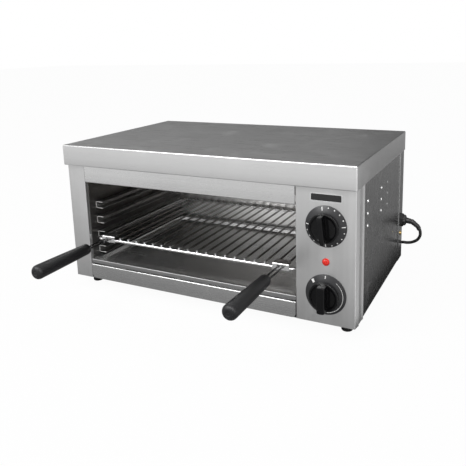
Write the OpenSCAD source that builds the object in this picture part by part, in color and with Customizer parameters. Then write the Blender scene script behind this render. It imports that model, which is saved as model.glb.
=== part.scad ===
// Electric cheese melter: an open-fronted steel cabinet with heating elements under its roof, a wire rack that
// slides in four levels of rails, a crumb tray on the cavity floor, and a control panel with two dials.
// +X is to the right seen from the front, +Y to the back, +Z up. The origin lies on the table, under the middle
// of the box around the cabinet and its handles.

/* [Cabinet] */
// Width across the side flanges
body_w = 606; // [580:1:680]
// Depth from the front panels to the back panel
body_d = 369; // [366:1:420]
// Height from the lower edge to the rim of the cover
body_h = 240; // [232:1:270]
// Thickness of the steel sheets
sheet = 1; // [0.8:0.1:1.2]
// Width of the plain column left of the opening
column_w = 42; // [36:1:50]
// Width of the control panel right of the opening
panel_w = 106; // [100:1:120]
// Height of the front rail above the opening, below the cover
top_rail_h = 35; // [26:1:40]
// Height of the front rail below the opening
bottom_rail_h = 30; // [24:1:34]
// Radius of the lower rail's bottom corners
rail_corner_r = 8; // [2:1:12]
// Gap between the rails and the panels beside them
seam = 0.6; // [0.4:0.1:1]
// Depth of the front panels' flanges along the sides
front_flange = 43; // [36:1:50]
// Depth of the back panel's flanges along the sides
rear_flange = 36; // [32:1:42]
// How far a side panel reaches behind a flange
flange_lap = 8; // [5:1:10]
// Depth of the return lips behind the front faces
lip_d = 15; // [12:1:18]
// Width of the inward flange along the top of a side panel
top_flange = 12; // [8:1:16]

/* [Cover] */
// Height of the cover's skirt
cover_h = 41; // [38:1:50]
// Thickness of the cover's sheet
cover_t = 1.2; // [1:0.1:1.5]
// How far the cover stands out in front of the panels
cover_front = 9; // [7.5:0.5:12]
// How far the cover stands out at each side
cover_side = 2; // [1.6:0.1:3]
// How far the cover stands out behind the back panel
cover_rear = 2; // [1.9:0.1:3]
// Radius of the cover's upright edges
cover_corner_r = 3; // [2:0.5:5]
// Width of the turned-in hem under the front skirt
cover_hem = 5; // [3:0.5:5]

/* [Feet] */
// Height of the feet
foot_h = 22; // [16:1:26]
// Diameter of a foot where it meets the base
foot_d = 24; // [20:1:28]
// Diameter of a foot on the table
foot_tip_d = 20; // [18:1:22]
// Distance of a foot's axis from the side of the cabinet
foot_inset_x = 25; // [20:1:36]
// Distance of a foot's axis from the front or back of the cabinet
foot_inset_y = 36; // [28:1:44]
// Diameter of the foot screws' shanks
foot_screw_d = 4.8; // [4:0.1:5]
// Diameter of the foot screws' heads
foot_screw_head_d = 9; // [8:0.5:10]
// Depth of the pocket in a foot for its screw head
foot_pocket = 14; // [8:0.5:16]

/* [Cavity] */
// Space between the cavity's back wall and the back of the cabinet
rear_space = 23; // [23:1:50]
// Height of the ceiling above the top of the opening
ceiling_rise = 23; // [20:1:26]
// How far the divider stands to the right of the opening
divider_offset = 6; // [4:0.5:9]
// Thickness of the insulation blanket on the ceiling
blanket_t = 38; // [30:1:38]

/* [Rack rails] */
// Height of the lowest rail above the cavity floor
first_rail = 18; // [15:1:20]
// Distance from one rail to the next
rail_pitch = 32; // [30:1:34]
// Height of a rail
rail_h = 14; // [12:1:16]
// Width of a rail's flanges
rail_w = 17; // [15:1:19]
// Thickness of the rails
rail_t = 1; // [0.8:0.1:1.2]
// Distance of the rails' front ends behind the front face
rail_setback = 27; // [20:1:35]
// Gap between the rails and the cavity's back wall
rail_rear_gap = 5; // [3:1:8]

/* [Rack] */
// Level of the rails that the rack lies in, counted from the lowest
rack_level = 1; // [0:1:3]
// Diameter of the rack's frame wire
frame_d = 6; // [5:0.5:6.5]
// Diameter of the rack's rods
rod_d = 4; // [3:0.5:4.5]
// Distance from one rod to the next
rod_pitch = 20.2; // [18:0.1:24]
// Least gap between the last rod and the side of the frame
rod_edge_gap = 8; // [6:1:12]
// Bend radius of the frame's corners, to the middle of the wire
frame_bend_r = 12; // [8:1:16]
// Gap between the rack and the side walls of the cavity
rack_side_gap = 8.5; // [8:0.1:10]
// Distance of the front wire's middle behind the front face
rack_setback = 11; // [8:1:16]
// Gap between the rack and the cavity's back wall
rack_rear_gap = 4; // [3:1:8]
// Height of the rods' upturned ends above the rods' middle
nub_h = 3; // [2.5:0.5:5]
// Clearance under what slides
slide_gap = 0.3; // [0.3:0.05:0.5]

/* [Handles] */
// Reach of the grips' tips in front of the front face
handle_reach = 189; // [175:1:205]
// Mean distance of the handles from the sides of the rack's frame
handle_inset = 29; // [27:1:60]
// Shift of both handles from the rack's middle towards the control panel
handle_shift = 3; // [-4:0.5:4]
// Height of the handles' axes above the middle of the frame wire
handle_rise = 4; // [3:0.5:5]
// Length of a grip
grip_len = 133; // [115:1:145]
// Diameter of a grip near its outer end
grip_d = 26; // [21:0.5:27]
// Diameter of a grip at its inner end
grip_neck_d = 21; // [18:0.5:21]
// Radius of the rounding at a grip's outer end
grip_round = 9; // [6:0.5:10]
// Diameter of the wires that carry a grip
handle_wire_d = 3.5; // [3:0.1:4]
// Distance between the two wires of a handle
handle_wire_gap = 9; // [8:0.5:10]
// Depth that the wires go into a grip
handle_wire_grip = 30; // [20:1:50]
// Width of the clip that hooks a handle on the rack
clip_w = 30; // [24:1:36]
// Thickness of the clip's sheet
clip_t = 1.5; // [1:0.1:2]
// Depth of the clip's upper leaf, over the rods
clip_top_d = 20; // [16:1:28]
// Depth of the clip's lower leaf, under the frame wire
clip_hook_d = 12; // [9:1:16]

/* [Crumb tray] */
// Height of the tray
tray_h = 10.5; // [9:0.5:14]
// Thickness of the tray's sheet
tray_t = 0.8; // [0.6:0.1:1]
// Width of the rim at the sides and the back
tray_rim = 10; // [8:1:14]
// Width of the rim at the front
tray_front_rim = 16; // [12:1:20]
// Height of the turned-down lip at the front
tray_lip_h = 8; // [6:0.5:8.5]
// Gap between the tray and the sides of the opening
tray_side_gap = 1; // [0.6:0.1:2]
// Set-back of the tray's lip from the front face
tray_setback = 0.6; // [0.4:0.1:3]
// Gap between the tray and the cavity's back wall
tray_rear_gap = 10; // [5:1:15]

/* [Heating elements] */
// Number of hairpin elements
element_count = 3; // [2:1:4]
// Diameter of an element's sheath
element_d = 8; // [6.5:0.5:8.5]
// Distance between the two legs of an element
element_gap = 45; // [36:1:50]
// Distance of the elements' middle below the ceiling
element_drop = 12; // [10:1:14]
// Distance of an element's bend from the cavity's left wall
element_end_gap = 14; // [10:1:20]
// Length of an element behind the divider, without its stud
element_tail = 12; // [10:1:16]
// Diameter of the terminal studs
stud_d = 4; // [3:0.5:5]
// Length of the terminal studs
stud_len = 12; // [10:1:15]
// Diameter of the ceramic bushings' bodies in the divider
bushing_d = 12; // [11:0.5:14]
// Diameter of the bushings' collars
bushing_collar_d = 17; // [16:0.5:19]
// Thickness of the bushings' collars
bushing_collar_t = 4; // [3:0.5:6]
// Thickness of the strips that hold the elements
hanger_t = 1.5; // [1:0.1:2]
// How far the strips reach below the elements' middle
hanger_foot = 7; // [6:0.5:8]

/* [Controls] */
// Shift of the controls from the middle of the control panel, towards the side
control_shift = 1; // [-3:0.5:3]
// Distance of the timer's axis below the cover's rim
timer_drop = 66; // [62:1:70]
// Distance of the pilot lamp's axis below the cover's rim
lamp_drop = 128; // [124:1:132]
// Distance of the heat control's axis below the cover's rim
heat_drop = 186; // [182:1:190]
// Diameter of the dial plates
dial_d = 72; // [66:1:78]
// Height of the dial plates' raised inner edge
dial_h = 7; // [5:0.5:8]
// Thickness of the dial plates behind the knobs and at the outer edge
dial_t = 1.2; // [1:0.1:1.6]
// Radial gap between a knob's hub and its dial plate
knob_gap = 1.5; // [1:0.1:2.5]
// Diameter of the knobs' hubs, behind their discs
knob_hub_d = 40; // [34:1:42]
// Diameter of the knobs' discs, which stand over the dial plates
knob_d = 52; // [48:1:56]
// Height of the back of a knob's disc above the panel
knob_disc_z = 10; // [9:0.5:11]
// Height of a knob's disc above the panel
knob_h = 16; // [15:0.5:18]
// Height of a knob's grip bar above the panel
bar_h = 30; // [24:0.5:32]
// Width of the timer knob's grip bar
timer_bar_w = 9; // [7:0.5:12]
// Width of the heat knob's grip bar
heat_bar_w = 14; // [11:0.5:18]
// Lean of the timer knob's grip bar to the left of upright when it is off, in degrees
timer_lean = 6; // [0:1:12]
// Diameter of the control shafts
shaft_d = 6; // [5:0.1:6.5]
// Radial running clearance of a shaft in its control
running_fit = 0.05; // [0.02:0.01:0.1]
// Depth of the shafts in the controls
shaft_depth = 20; // [15:1:24]
// Depth of the shafts in the knobs, from the panel's face
shaft_reach = 12; // [10:0.5:14]
// Diameter of the controls' threaded necks
neck_d = 9.6; // [8.5:0.1:10]
// Clearance of the necks in the panel, on the diameter
neck_play = 0.4; // [0.2:0.1:0.8]
// Width and height of the timer's case
timer_case = 46; // [40:1:50]
// Depth of the timer's case
timer_case_d = 40; // [32:1:48]
// Width and height of the heat control's case
heat_case = 40; // [34:1:46]
// Depth of the heat control's case
heat_case_d = 34; // [28:1:40]
// Diameter of the pilot lamp's lens
lens_d = 13; // [11:0.5:15]
// Height of the pilot lamp's lens
lens_h = 4.5; // [3:0.5:6]
// Diameter of the pilot lamp's body
lamp_body_d = 9; // [8:0.5:10]
// Length of the pilot lamp's body behind the panel
lamp_body_len = 24; // [18:1:30]
// Width of the plate above the timer
badge_w = 54; // [44:1:60]
// Height of the plate above the timer
badge_h = 13; // [10:0.5:15]
// Thickness of the plate above the timer
badge_t = 0.8; // [0.5:0.1:1.2]
// Distance of the plate's middle below the cover's rim
badge_drop = 17; // [15:0.5:19]

/* [Vents] */
// Diameter of the vent holes in the right side
vent_d = 4.5; // [3.5:0.5:6]
// Number of vent columns
vent_columns = 3; // [2:1:4]
// Number of vent rows
vent_rows = 3; // [2:1:4]
// Distance between vent columns
vent_pitch_y = 49; // [40:1:54]
// Extra distance between the first vent column and the next
vent_gap_y = 49; // [0:1:54]
// Distance between vent rows
vent_pitch_z = 22; // [16:1:26]
// Distance of the first vent column behind the front face
vent_first = 72; // [64:1:80]
// Distance of the top vent row below the cover's rim
vent_drop = 36; // [30:1:42]
// Length of the slots in the base and the back
slot_len = 40; // [30:1:50]
// Width of the slots in the base and the back
slot_w = 5; // [4:0.5:7]
// Distance from slot to slot
slot_pitch = 14; // [12:1:18]
// Number of slots in each group
slot_count = 5; // [3:1:6]

/* [Fixings] */
// Diameter of the back screws' shanks
screw_d = 3.8; // [3:0.1:4.5]
// Length of the back screws' shanks
screw_len = 8; // [6:1:12]
// Diameter of the back screws' heads
screw_head_d = 7.5; // [6:0.5:9]
// Height of the back screws' heads
screw_head_h = 1.7; // [1:0.1:1.8]
// Distance of the back screws from the edges of the back panel
screw_inset = 14; // [10:1:20]
// Clearance of screws in their holes, on the diameter
screw_play = 0.3; // [0.2:0.1:0.6]

/* [Supply] */
// Size of the terminal block along X, Y and Z
terminal_size = [42, 22, 18]; // [15:1:50]
// Height of the cord gland's axis
gland_z = 110; // [106:1:114]
// Distance of the cord gland's axis from the back
gland_inset = 16; // [15:1:20]
// Diameter of the gland's nuts across their corners
gland_nut_d = 30; // [24:1:30]
// Thickness of the gland's outer nut
gland_nut_t = 6; // [4:0.5:8]
// Diameter of the gland's thread
gland_thread_d = 16; // [14:0.5:18]
// Length of the gland's taper past the nut
gland_nose = 7; // [7:0.5:12]
// Thickness of the gland's inner nut
gland_lock_t = 4; // [3:0.5:6]
// Length of the gland's thread inside the cabinet
gland_tail = 12; // [10:1:16]
// Diameter of the supply cord
cord_d = 6.5; // [6:0.1:7]
// Diameter of the leads inside the cabinet
lead_d = 2.5; // [2:0.1:3]
// Length that a lead runs straight out of a control or the gland
lead_out = 30; // [20:1:36]
// Distance between two leads that run side by side
lead_gap = 8; // [6:1:10]
// Length of the plug's body
plug_len = 34; // [28:1:40]
// Width of the plug's body
plug_w = 26; // [22:1:30]
// Height of the plug's body
plug_h = 24; // [20:1:28]
// Length of the plug's tapered neck
plug_neck = 20; // [15:1:26]
// Length of the plug's flat blades
blade_len = 17.5; // [15:0.5:19]
// Width of the plug's flat blades
blade_w = 6.3; // [5:0.1:7]
// Thickness of the plug's flat blades
blade_t = 1.5; // [1.2:0.1:1.8]
// Distance between the plug's flat blades
blade_gap = 12.7; // [12:0.1:13]
// Diameter of the plug's round pin
pin_d = 4.8; // [4:0.1:5]
// Length of the plug's round pin
pin_len = 20; // [17:0.5:22]

/* [Hidden] */

$fn = 48;
// Overlap that keeps a cut clear of the face it starts from
cut = 1;

// Cabinet faces
front_y = (handle_reach - body_d - cover_rear) / 2;
back_y = front_y + body_d;
side_x = body_w / 2;
base_z = foot_h;
rim_z = base_z + body_h;
top_z = rim_z + cover_h;
deck_z = top_z - cover_t;
shell_h = deck_z - base_z;

// Opening and cavity
open_x0 = column_w - side_x;
open_x1 = side_x - panel_w;
open_z0 = base_z + bottom_rail_h;
open_z1 = rim_z - top_rail_h;
cavity_x0 = open_x0 + sheet;
cavity_x1 = open_x1 + divider_offset;
cavity_d = body_d - rear_space;
cavity_y1 = front_y + cavity_d;
lip_y = front_y + lip_d;
ceiling_z = open_z1 + ceiling_rise;

// Rack, at rest in its rails
rail_y0 = front_y + rail_setback;
rail_y1 = cavity_y1 - rail_rear_gap;
frame_r = frame_d / 2;
rack_x0 = cavity_x0 + rack_side_gap + frame_r;
rack_x1 = cavity_x1 - rack_side_gap - frame_r;
rack_y0 = front_y + rack_setback;
rack_y1 = cavity_y1 - rack_rear_gap - frame_r;
rack_mid = (rack_x0 + rack_x1) / 2;
rack_z = open_z0 + first_rail + rack_level * rail_pitch + rail_t + slide_gap + frame_r;
rods_each_side = floor(((rack_x1 - rack_x0) / 2 - frame_r - rod_edge_gap) / rod_pitch);
rod_z = rack_z + frame_r + rod_d / 2;
nub_top = rod_z + nub_h;

// Handles
left_handle_x = rack_x0 + handle_inset + handle_shift;
right_handle_x = rack_x1 - handle_inset + handle_shift;
handle_z = rack_z + handle_rise;
grip_tip_y = front_y - handle_reach;
clip_y = rack_y0 - frame_r - clip_t;
clip_z0 = rack_z - frame_r - clip_t;

// Crumb tray
tray_x0 = cavity_x0 + tray_side_gap;
tray_x1 = open_x1 - tray_side_gap;
tray_y0 = front_y + tray_setback;
tray_y1 = cavity_y1 - tray_rear_gap;
tray_z0 = open_z0 + slide_gap;
tray_z1 = tray_z0 + tray_h;

// Heating elements
element_z = ceiling_z - element_drop;
element_bend_x = cavity_x0 + element_end_gap + element_d / 2 + element_gap / 2;
element_end_x = cavity_x1 + sheet + element_tail;
function element_y(i) = front_y + cavity_d * (i + 0.5) / element_count;
leg_ys = [for (i = [0:element_count - 1]) for (s = [-1, 1]) element_y(i) + s * element_gap / 2];
hanger_xs = [element_bend_x + element_d, (element_bend_x + cavity_x1) / 2];
hanger_end = 12;

// Controls
control_x = (open_x1 + side_x) / 2 + control_shift;
timer_z = rim_z - timer_drop;
lamp_z = rim_z - lamp_drop;
heat_z = rim_z - heat_drop;
badge_z = rim_z - badge_drop;
neck_hole_d = neck_d + neck_play;
dial_hole_d = neck_hole_d + 4;
dial_in_r = knob_hub_d / 2 + knob_gap;
knob_foot = dial_t + 2 * slide_gap;
knob_edge = 2.5;

// Right side, back and base
vent_y0 = front_y + vent_first;
vent_z0 = rim_z - vent_drop;
foot_xs = [foot_inset_x - side_x, side_x - foot_inset_x];
foot_ys = [front_y + foot_inset_y, back_y - foot_inset_y];
screw_xs = [screw_inset - side_x, -side_x / 3, side_x / 3, side_x - screw_inset];
screw_zs = [base_z + screw_inset, rim_z - screw_inset];

// Supply cord
gland_y = back_y - gland_inset;
terminal_y = back_y - 70;
terminal_bed = 0.6;
terminal_rib = 2;
cord_r = cord_d / 2;
// Route of the cord from the gland, out and down in a loop, behind the cabinet and along the table to its coil
cord_points = [[316, 262, 110], [328, 262.5, 107.5], [340, 264.5, 97.5], [344.5, 267.5, 83.5],
               [341, 271.5, 69.5], [330, 276.5, 58.5], [316, 280.5, 53], [303.5, 286, 50.5],
               [289, 289.5, 45], [277, 291, 37.5], [265.5, 293, 29], [253.5, 295, 20.5],
               [241, 297, 13.5], [228, 299, 8.5], [214.5, 300, 5.2], [200, 300, 3.9], [186, 300, 3.5],
               [172, 301, 3.5], [158, 301, 3.5]];
// Route of the cord from the top of its coil to the plug
tail_points = [[146, 301, 10], [132, 301, 9.5], [119, 301, 9.5], [107, 301, 10.5], [95, 301, 12]];
coil_mid = [150, 350];
coil_in_r = 26;
coil_out_r = 52;
coil_h = 13.4;
coil_round = 3;
plug_y = 301;
plug_x1 = 75;
plug_axis_z = plug_h / 2;

steel_colour = "#b4b5b6";
dark_steel_colour = "#6d6e6f";
black_colour = "#1d1d1e";
wire_colour = "#c9cacb";
rubber_colour = "#242424";
ceramic_colour = "#e6dfd0";
brass_colour = "#c9a24a";

// A box given by its lowest and highest corners
module block(low, high) {
    translate(low) cube(high - low);
}

// A round rod along X, Y or Z, from its start point
module rod(start, length, d, axis) {
    turn = axis == "x" ? [0, 90, 0] : axis == "y" ? [-90, 0, 0] : [0, 0, 0];
    translate(start) rotate(turn) cylinder(h = length, d = d);
}

// A rectangle with round corners, from 0 to size
module round_rect(size, r) {
    translate([r, 0]) square([size[0] - 2 * r, size[1]]);
    translate([0, r]) square([size[0], size[1] - 2 * r]);
    for (x = [r, size[0] - r]) for (y = [r, size[1] - r]) translate([x, y]) circle(r = r);
}

// A slot with round ends, cut through a sheet along Z
module slot_cut(length, width, depth) {
    translate([-length / 2 + width / 2, -width / 2, 0]) cube([length - width, width, depth]);
    for (s = [-1, 1]) translate([s * (length - width) / 2, 0, 0]) cylinder(h = depth, d = width);
}

// A front corner panel: its face, its flange along the side and its return lip, from the outer corner at 0
module corner_panel(width) {
    cube([width, sheet, shell_h]);
    cube([sheet, front_flange, shell_h]);
    translate([width - sheet, 0, sheet]) cube([sheet, lip_d, shell_h - sheet]);
}

module top_cover() {
    x0 = -side_x - cover_side;
    y0 = front_y - cover_front;
    w = body_w + 2 * cover_side;
    d = body_d + cover_front + cover_rear;
    color(steel_colour) {
        difference() {
            translate([x0, y0, rim_z]) linear_extrude(cover_h) round_rect([w, d], cover_corner_r);
            translate([x0 + cover_t, y0 + cover_t, rim_z - cut])
                linear_extrude(cover_h - cover_t + cut)
                    round_rect([w - 2 * cover_t, d - 2 * cover_t], cover_corner_r - cover_t);
        }
        block([x0 + cover_corner_r, y0 + cover_t, rim_z],
              [x0 + w - cover_corner_r, y0 + cover_t + cover_hem, rim_z + sheet]);
    }
}

module left_column() {
    color(steel_colour) translate([-side_x, front_y, base_z]) corner_panel(column_w);
}

module control_panel() {
    color(steel_colour) difference() {
        union() {
            translate([side_x, front_y, base_z]) mirror([1, 0, 0]) corner_panel(panel_w);
            block([open_x1, lip_y - sheet, base_z + sheet], [cavity_x1, lip_y, deck_z]);
        }
        for (z = [timer_z, heat_z]) rod([control_x, front_y - cut, z], sheet + 2 * cut, neck_hole_d, "y");
        rod([control_x, front_y - cut, lamp_z], sheet + 2 * cut, lamp_body_d + neck_play, "y");
    }
}

module front_top_rail() {
    color(steel_colour) {
        block([open_x0 + seam, front_y, open_z1], [open_x1 - seam, front_y + sheet, deck_z]);
        block([cavity_x0 + seam, front_y, open_z1], [open_x1 - seam, lip_y, open_z1 + sheet]);
    }
}

module front_bottom_rail() {
    w = open_x1 - open_x0 - 2 * seam;
    r = rail_corner_r;
    color(steel_colour) {
        translate([open_x0 + seam, front_y + sheet, base_z]) rotate([90, 0, 0]) linear_extrude(sheet) {
            translate([0, r]) square([w, bottom_rail_h - r]);
            translate([r, 0]) square([w - 2 * r, r + cut]);
            for (x = [r, w - r]) translate([x, r]) circle(r = r);
        }
        block([open_x0 + seam, front_y, open_z0 - sheet], [open_x1 - seam, lip_y, open_z0]);
    }
}

// A side panel, tucked behind the flanges of the front and back panels; side is -1 left or 1 right
module side_panel(side) {
    mirror([side > 0 ? 0 : 1, 0, 0]) {
        block([side_x - 2 * sheet, front_y + front_flange - flange_lap, base_z],
              [side_x - sheet, back_y - rear_flange + flange_lap, deck_z]);
        block([side_x - sheet - top_flange, front_y + front_flange - flange_lap, deck_z - sheet],
              [side_x - sheet, back_y - rear_flange + flange_lap, deck_z]);
    }
}

module left_side_panel() {
    color(steel_colour) side_panel(-1);
}

module right_side_panel() {
    color(steel_colour) difference() {
        side_panel(1);
        for (i = [0:vent_columns - 1]) for (j = [0:vent_rows - 1])
            rod([side_x - 2 * sheet - cut, vent_y0 + i * vent_pitch_y + (i > 0 ? vent_gap_y : 0),
                 vent_z0 - j * vent_pitch_z], sheet + 2 * cut, vent_d, "x");
    }
}

module back_panel() {
    color(steel_colour) difference() {
        union() {
            block([-side_x, back_y - sheet, base_z], [side_x, back_y, deck_z]);
            for (s = [0, 1]) mirror([s, 0, 0])
                block([side_x - sheet, back_y - rear_flange, base_z], [side_x, back_y, deck_z]);
        }
        for (x = screw_xs) for (z = screw_zs)
            rod([x, back_y - sheet - cut, z], sheet + 2 * cut, screw_d + screw_play, "y");
        rod([side_x - sheet - cut, gland_y, gland_z], sheet + 2 * cut, gland_thread_d + screw_play, "x");
        for (i = [0:slot_count - 1]) translate([control_x, back_y + cut, vent_z0 - i * slot_pitch])
            rotate([90, 0, 0]) slot_cut(slot_len, slot_w, sheet + 2 * cut);
    }
}

module base_panel() {
    color(dark_steel_colour) difference() {
        block([2 * sheet - side_x, front_y + sheet, base_z], [side_x - 2 * sheet, back_y - sheet, base_z + sheet]);
        for (x = foot_xs) for (y = foot_ys)
            rod([x, y, base_z - cut], sheet + 2 * cut, foot_screw_d + screw_play, "z");
        for (i = [0:slot_count - 1]) translate([control_x, front_y + body_d / 2 + i * slot_pitch, base_z - cut])
            slot_cut(slot_len, slot_w, sheet + 2 * cut);
    }
}

module cavity_left_wall() {
    color(dark_steel_colour)
        block([open_x0, front_y + lip_d / 2, open_z0], [cavity_x0, cavity_y1, ceiling_z]);
}

module divider_wall() {
    color(dark_steel_colour) difference() {
        block([cavity_x1, lip_y - sheet, base_z + sheet], [cavity_x1 + sheet, cavity_y1, deck_z]);
        for (y = leg_ys)
            rod([cavity_x1 - cut, y, element_z], sheet + 2 * cut, bushing_d + screw_play, "x");
    }
}

module cavity_back_wall() {
    color(dark_steel_colour) block([open_x0, cavity_y1, open_z0], [cavity_x1, cavity_y1 + sheet, ceiling_z]);
}

module cavity_floor() {
    color(dark_steel_colour)
        block([open_x0, lip_y, open_z0 - sheet], [cavity_x1, cavity_y1 + sheet, open_z0]);
}

module cavity_ceiling() {
    color(steel_colour) {
        block([open_x0, front_y + sheet, ceiling_z], [open_x1, cavity_y1 + sheet, ceiling_z + sheet]);
        block([open_x1 - cut, lip_y, ceiling_z], [cavity_x1, cavity_y1 + sheet, ceiling_z + sheet]);
    }
}

module insulation_blanket() {
    color("#d8d2c0")
        block([open_x0 + lip_d, lip_y + 5, ceiling_z + sheet],
              [cavity_x1 - 5, cavity_y1 - 5, ceiling_z + sheet + blanket_t]);
}

// A channel-shaped rail, open towards the middle of the cavity; side is -1 left or 1 right, level 0 the lowest
module rack_rail(side, level) {
    z0 = open_z0 + first_rail + level * rail_pitch;
    long = rail_y1 - rail_y0;
    color(dark_steel_colour) translate([side < 0 ? cavity_x0 : cavity_x1, rail_y0, z0])
        mirror([side < 0 ? 0 : 1, 0, 0]) {
            cube([rail_t, long, rail_h]);
            cube([rail_w, long, rail_t]);
            translate([0, 0, rail_h - rail_t]) cube([rail_w, long, rail_t]);
        }
}

module heating_elements() {
    color("#5b5350") for (i = [0:element_count - 1]) {
        y = element_y(i);
        for (s = [-1, 1]) {
            rod([element_bend_x, y + s * element_gap / 2, element_z], element_end_x - element_bend_x,
                element_d, "x");
            rod([element_end_x - cut, y + s * element_gap / 2, element_z], stud_len + cut, stud_d, "x");
        }
        translate([element_bend_x, y, element_z]) rotate([0, 0, 90])
            rotate_extrude(angle = 180) translate([element_gap / 2, 0]) circle(d = element_d);
    }
}

module element_bushings() {
    color(ceramic_colour) for (y = leg_ys) difference() {
        union() {
            rod([cavity_x1 - sheet, y, element_z], 3 * sheet, bushing_d, "x");
            rod([cavity_x1 + sheet, y, element_z], bushing_collar_t, bushing_collar_d, "x");
        }
        rod([cavity_x1 - sheet - cut, y, element_z], bushing_collar_t + 4 * sheet + 2 * cut, element_d, "x");
    }
}

module element_hangers() {
    color(steel_colour) for (x = hanger_xs) difference() {
        block([x, leg_ys[0] - hanger_end, element_z - hanger_foot],
              [x + hanger_t, leg_ys[2 * element_count - 1] + hanger_end, ceiling_z]);
        for (y = leg_ys) rod([x - cut, y, element_z], hanger_t + 2 * cut, element_d, "x");
    }
}

module rack_frame() {
    r = frame_bend_r;
    color(wire_colour) {
        for (y = [rack_y0, rack_y1]) rod([rack_x0 + r, y, rack_z], rack_x1 - rack_x0 - 2 * r, frame_d, "x");
        for (x = [rack_x0, rack_x1]) rod([x, rack_y0 + r, rack_z], rack_y1 - rack_y0 - 2 * r, frame_d, "y");
        translate([rack_x1 - r, rack_y1 - r, rack_z]) frame_bend(0);
        translate([rack_x0 + r, rack_y1 - r, rack_z]) frame_bend(90);
        translate([rack_x0 + r, rack_y0 + r, rack_z]) frame_bend(180);
        translate([rack_x1 - r, rack_y0 + r, rack_z]) frame_bend(270);
    }
}

// A quarter bend of the frame wire, starting at the given angle
module frame_bend(start) {
    rotate([0, 0, start]) rotate_extrude(angle = 90) translate([frame_bend_r, 0]) circle(d = frame_d);
}

module rack_rods() {
    color(wire_colour) for (i = [-rods_each_side:rods_each_side]) {
        x = rack_mid + i * rod_pitch;
        rod([x, rack_y0, rod_z], rack_y1 - rack_y0, rod_d, "y");
        rod([x, rack_y0, rod_z], nub_h, rod_d, "z");
        translate([x, rack_y0, rod_z]) sphere(d = rod_d);
    }
}

// The sheet clip that hooks a handle over the rods and under the frame wire
module clip(x) {
    color(steel_colour) translate([x - clip_w / 2, 0, 0]) {
        block([0, clip_y, clip_z0], [clip_w, clip_y + clip_t, nub_top + clip_t]);
        block([0, clip_y, nub_top], [clip_w, clip_y + clip_top_d, nub_top + clip_t]);
        block([0, clip_y, clip_z0], [clip_w, clip_y + clip_hook_d, clip_z0 + clip_t]);
    }
}

module handle_wires(x) {
    start_y = grip_tip_y + grip_len - handle_wire_grip;
    color(black_colour) for (s = [-1, 1])
        rod([x + s * handle_wire_gap / 2, start_y, handle_z], clip_y - start_y, handle_wire_d, "y");
}

// A grip, thicker towards its round outer end
module grip(x) {
    r = grip_d / 2;
    edge = 2;
    color(black_colour) translate([x, grip_tip_y + grip_len, handle_z]) rotate([90, 0, 0]) {
        rotate_extrude() {
            polygon([[0, 0], [grip_neck_d / 2 - edge, 0], [grip_neck_d / 2, edge], [r, grip_len - grip_round],
                     for (a = [15:15:75]) [r - grip_round * (1 - cos(a)), grip_len - grip_round * (1 - sin(a))],
                     [r - grip_round, grip_len], [0, grip_len]]);
        }
    }
}

module crumb_tray() {
    color(dark_steel_colour) difference() {
        union() {
            block([tray_x0 + tray_rim - tray_t, tray_y0 + tray_front_rim - tray_t, tray_z0],
                  [tray_x1 - tray_rim + tray_t, tray_y1 - tray_rim + tray_t, tray_z1]);
            block([tray_x0, tray_y0, tray_z1 - tray_t], [tray_x1, tray_y1, tray_z1]);
            block([tray_x0, tray_y0, tray_z1 - tray_lip_h], [tray_x1, tray_y0 + tray_t, tray_z1]);
        }
        block([tray_x0 + tray_rim, tray_y0 + tray_front_rim, tray_z0 + tray_t],
              [tray_x1 - tray_rim, tray_y1 - tray_rim, tray_z1 + cut]);
    }
}

// Places its children at a point of the panel, with +Z out of the panel's face
module on_panel(z) {
    translate([control_x, front_y, z]) rotate([90, 0, 0]) children();
}

module dial(z) {
    r = dial_d / 2;
    color(black_colour) on_panel(z) rotate_extrude()
        polygon([[dial_hole_d / 2, 0], [r, 0], [r, dial_t], [dial_in_r + 1, dial_h], [dial_in_r, dial_h],
                 [dial_in_r, dial_t], [dial_hole_d / 2, dial_t]]);
}

// A knob on its shaft: a hub inside the dial plate, a disc over it, and a grip bar across the disc, which leans to
// the left by the given angle
module knob(z, bar_w, lean) {
    r = knob_d / 2;
    hub_r = knob_hub_d / 2;
    color(black_colour) on_panel(z) difference() {
        union() {
            rotate_extrude() polygon([[0, knob_foot], [hub_r, knob_foot], [hub_r, knob_disc_z],
                [r - 0.5, knob_disc_z], [r, knob_disc_z + 0.5], [r, knob_h - knob_edge],
                for (a = [30:30:60]) [r - knob_edge * (1 - cos(a)), knob_h - knob_edge * (1 - sin(a))],
                [r - knob_edge, knob_h], [0, knob_h]]);
            intersection() {
                cylinder(h = bar_h, r1 = r, r2 = r - 2);
                rotate([0, 0, lean]) translate([-bar_w / 2, -r, knob_h - knob_edge])
                    cube([bar_w, knob_d, bar_h - knob_h + knob_edge]);
            }
        }
        translate([0, 0, knob_foot - cut]) cylinder(h = shaft_reach - knob_foot + cut, d = shaft_d);
    }
}

module shaft(z) {
    color(wire_colour) on_panel(z)
        translate([0, 0, -shaft_depth]) cylinder(h = shaft_depth + shaft_reach, d = shaft_d);
}

// A control behind the panel: its case and the neck that passes through the panel
module control_case(z, size, depth) {
    color("#8f8a80") on_panel(z) difference() {
        union() {
            translate([-size / 2, -size / 2, -sheet - depth]) cube([size, size, depth]);
            translate([0, 0, -sheet - cut]) cylinder(h = sheet + cut + dial_t, d = neck_d);
        }
        translate([0, 0, -shaft_depth - slide_gap])
            cylinder(h = shaft_depth + slide_gap + dial_t + cut, d = shaft_d + 2 * running_fit);
    }
}

module pilot_lens() {
    color("#c81a12") on_panel(lamp_z) rotate_extrude()
        polygon([[0, 0], [lens_d / 2, 0], [lens_d / 2, 1.2],
                 for (a = [15:15:75]) [lens_d / 2 * cos(a), 1.2 + (lens_h - 1.2) * sin(a)], [0, lens_h]]);
}

module pilot_body() {
    color(black_colour) on_panel(lamp_z) translate([0, 0, -lamp_body_len])
        cylinder(h = lamp_body_len, d = lamp_body_d);
}

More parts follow.
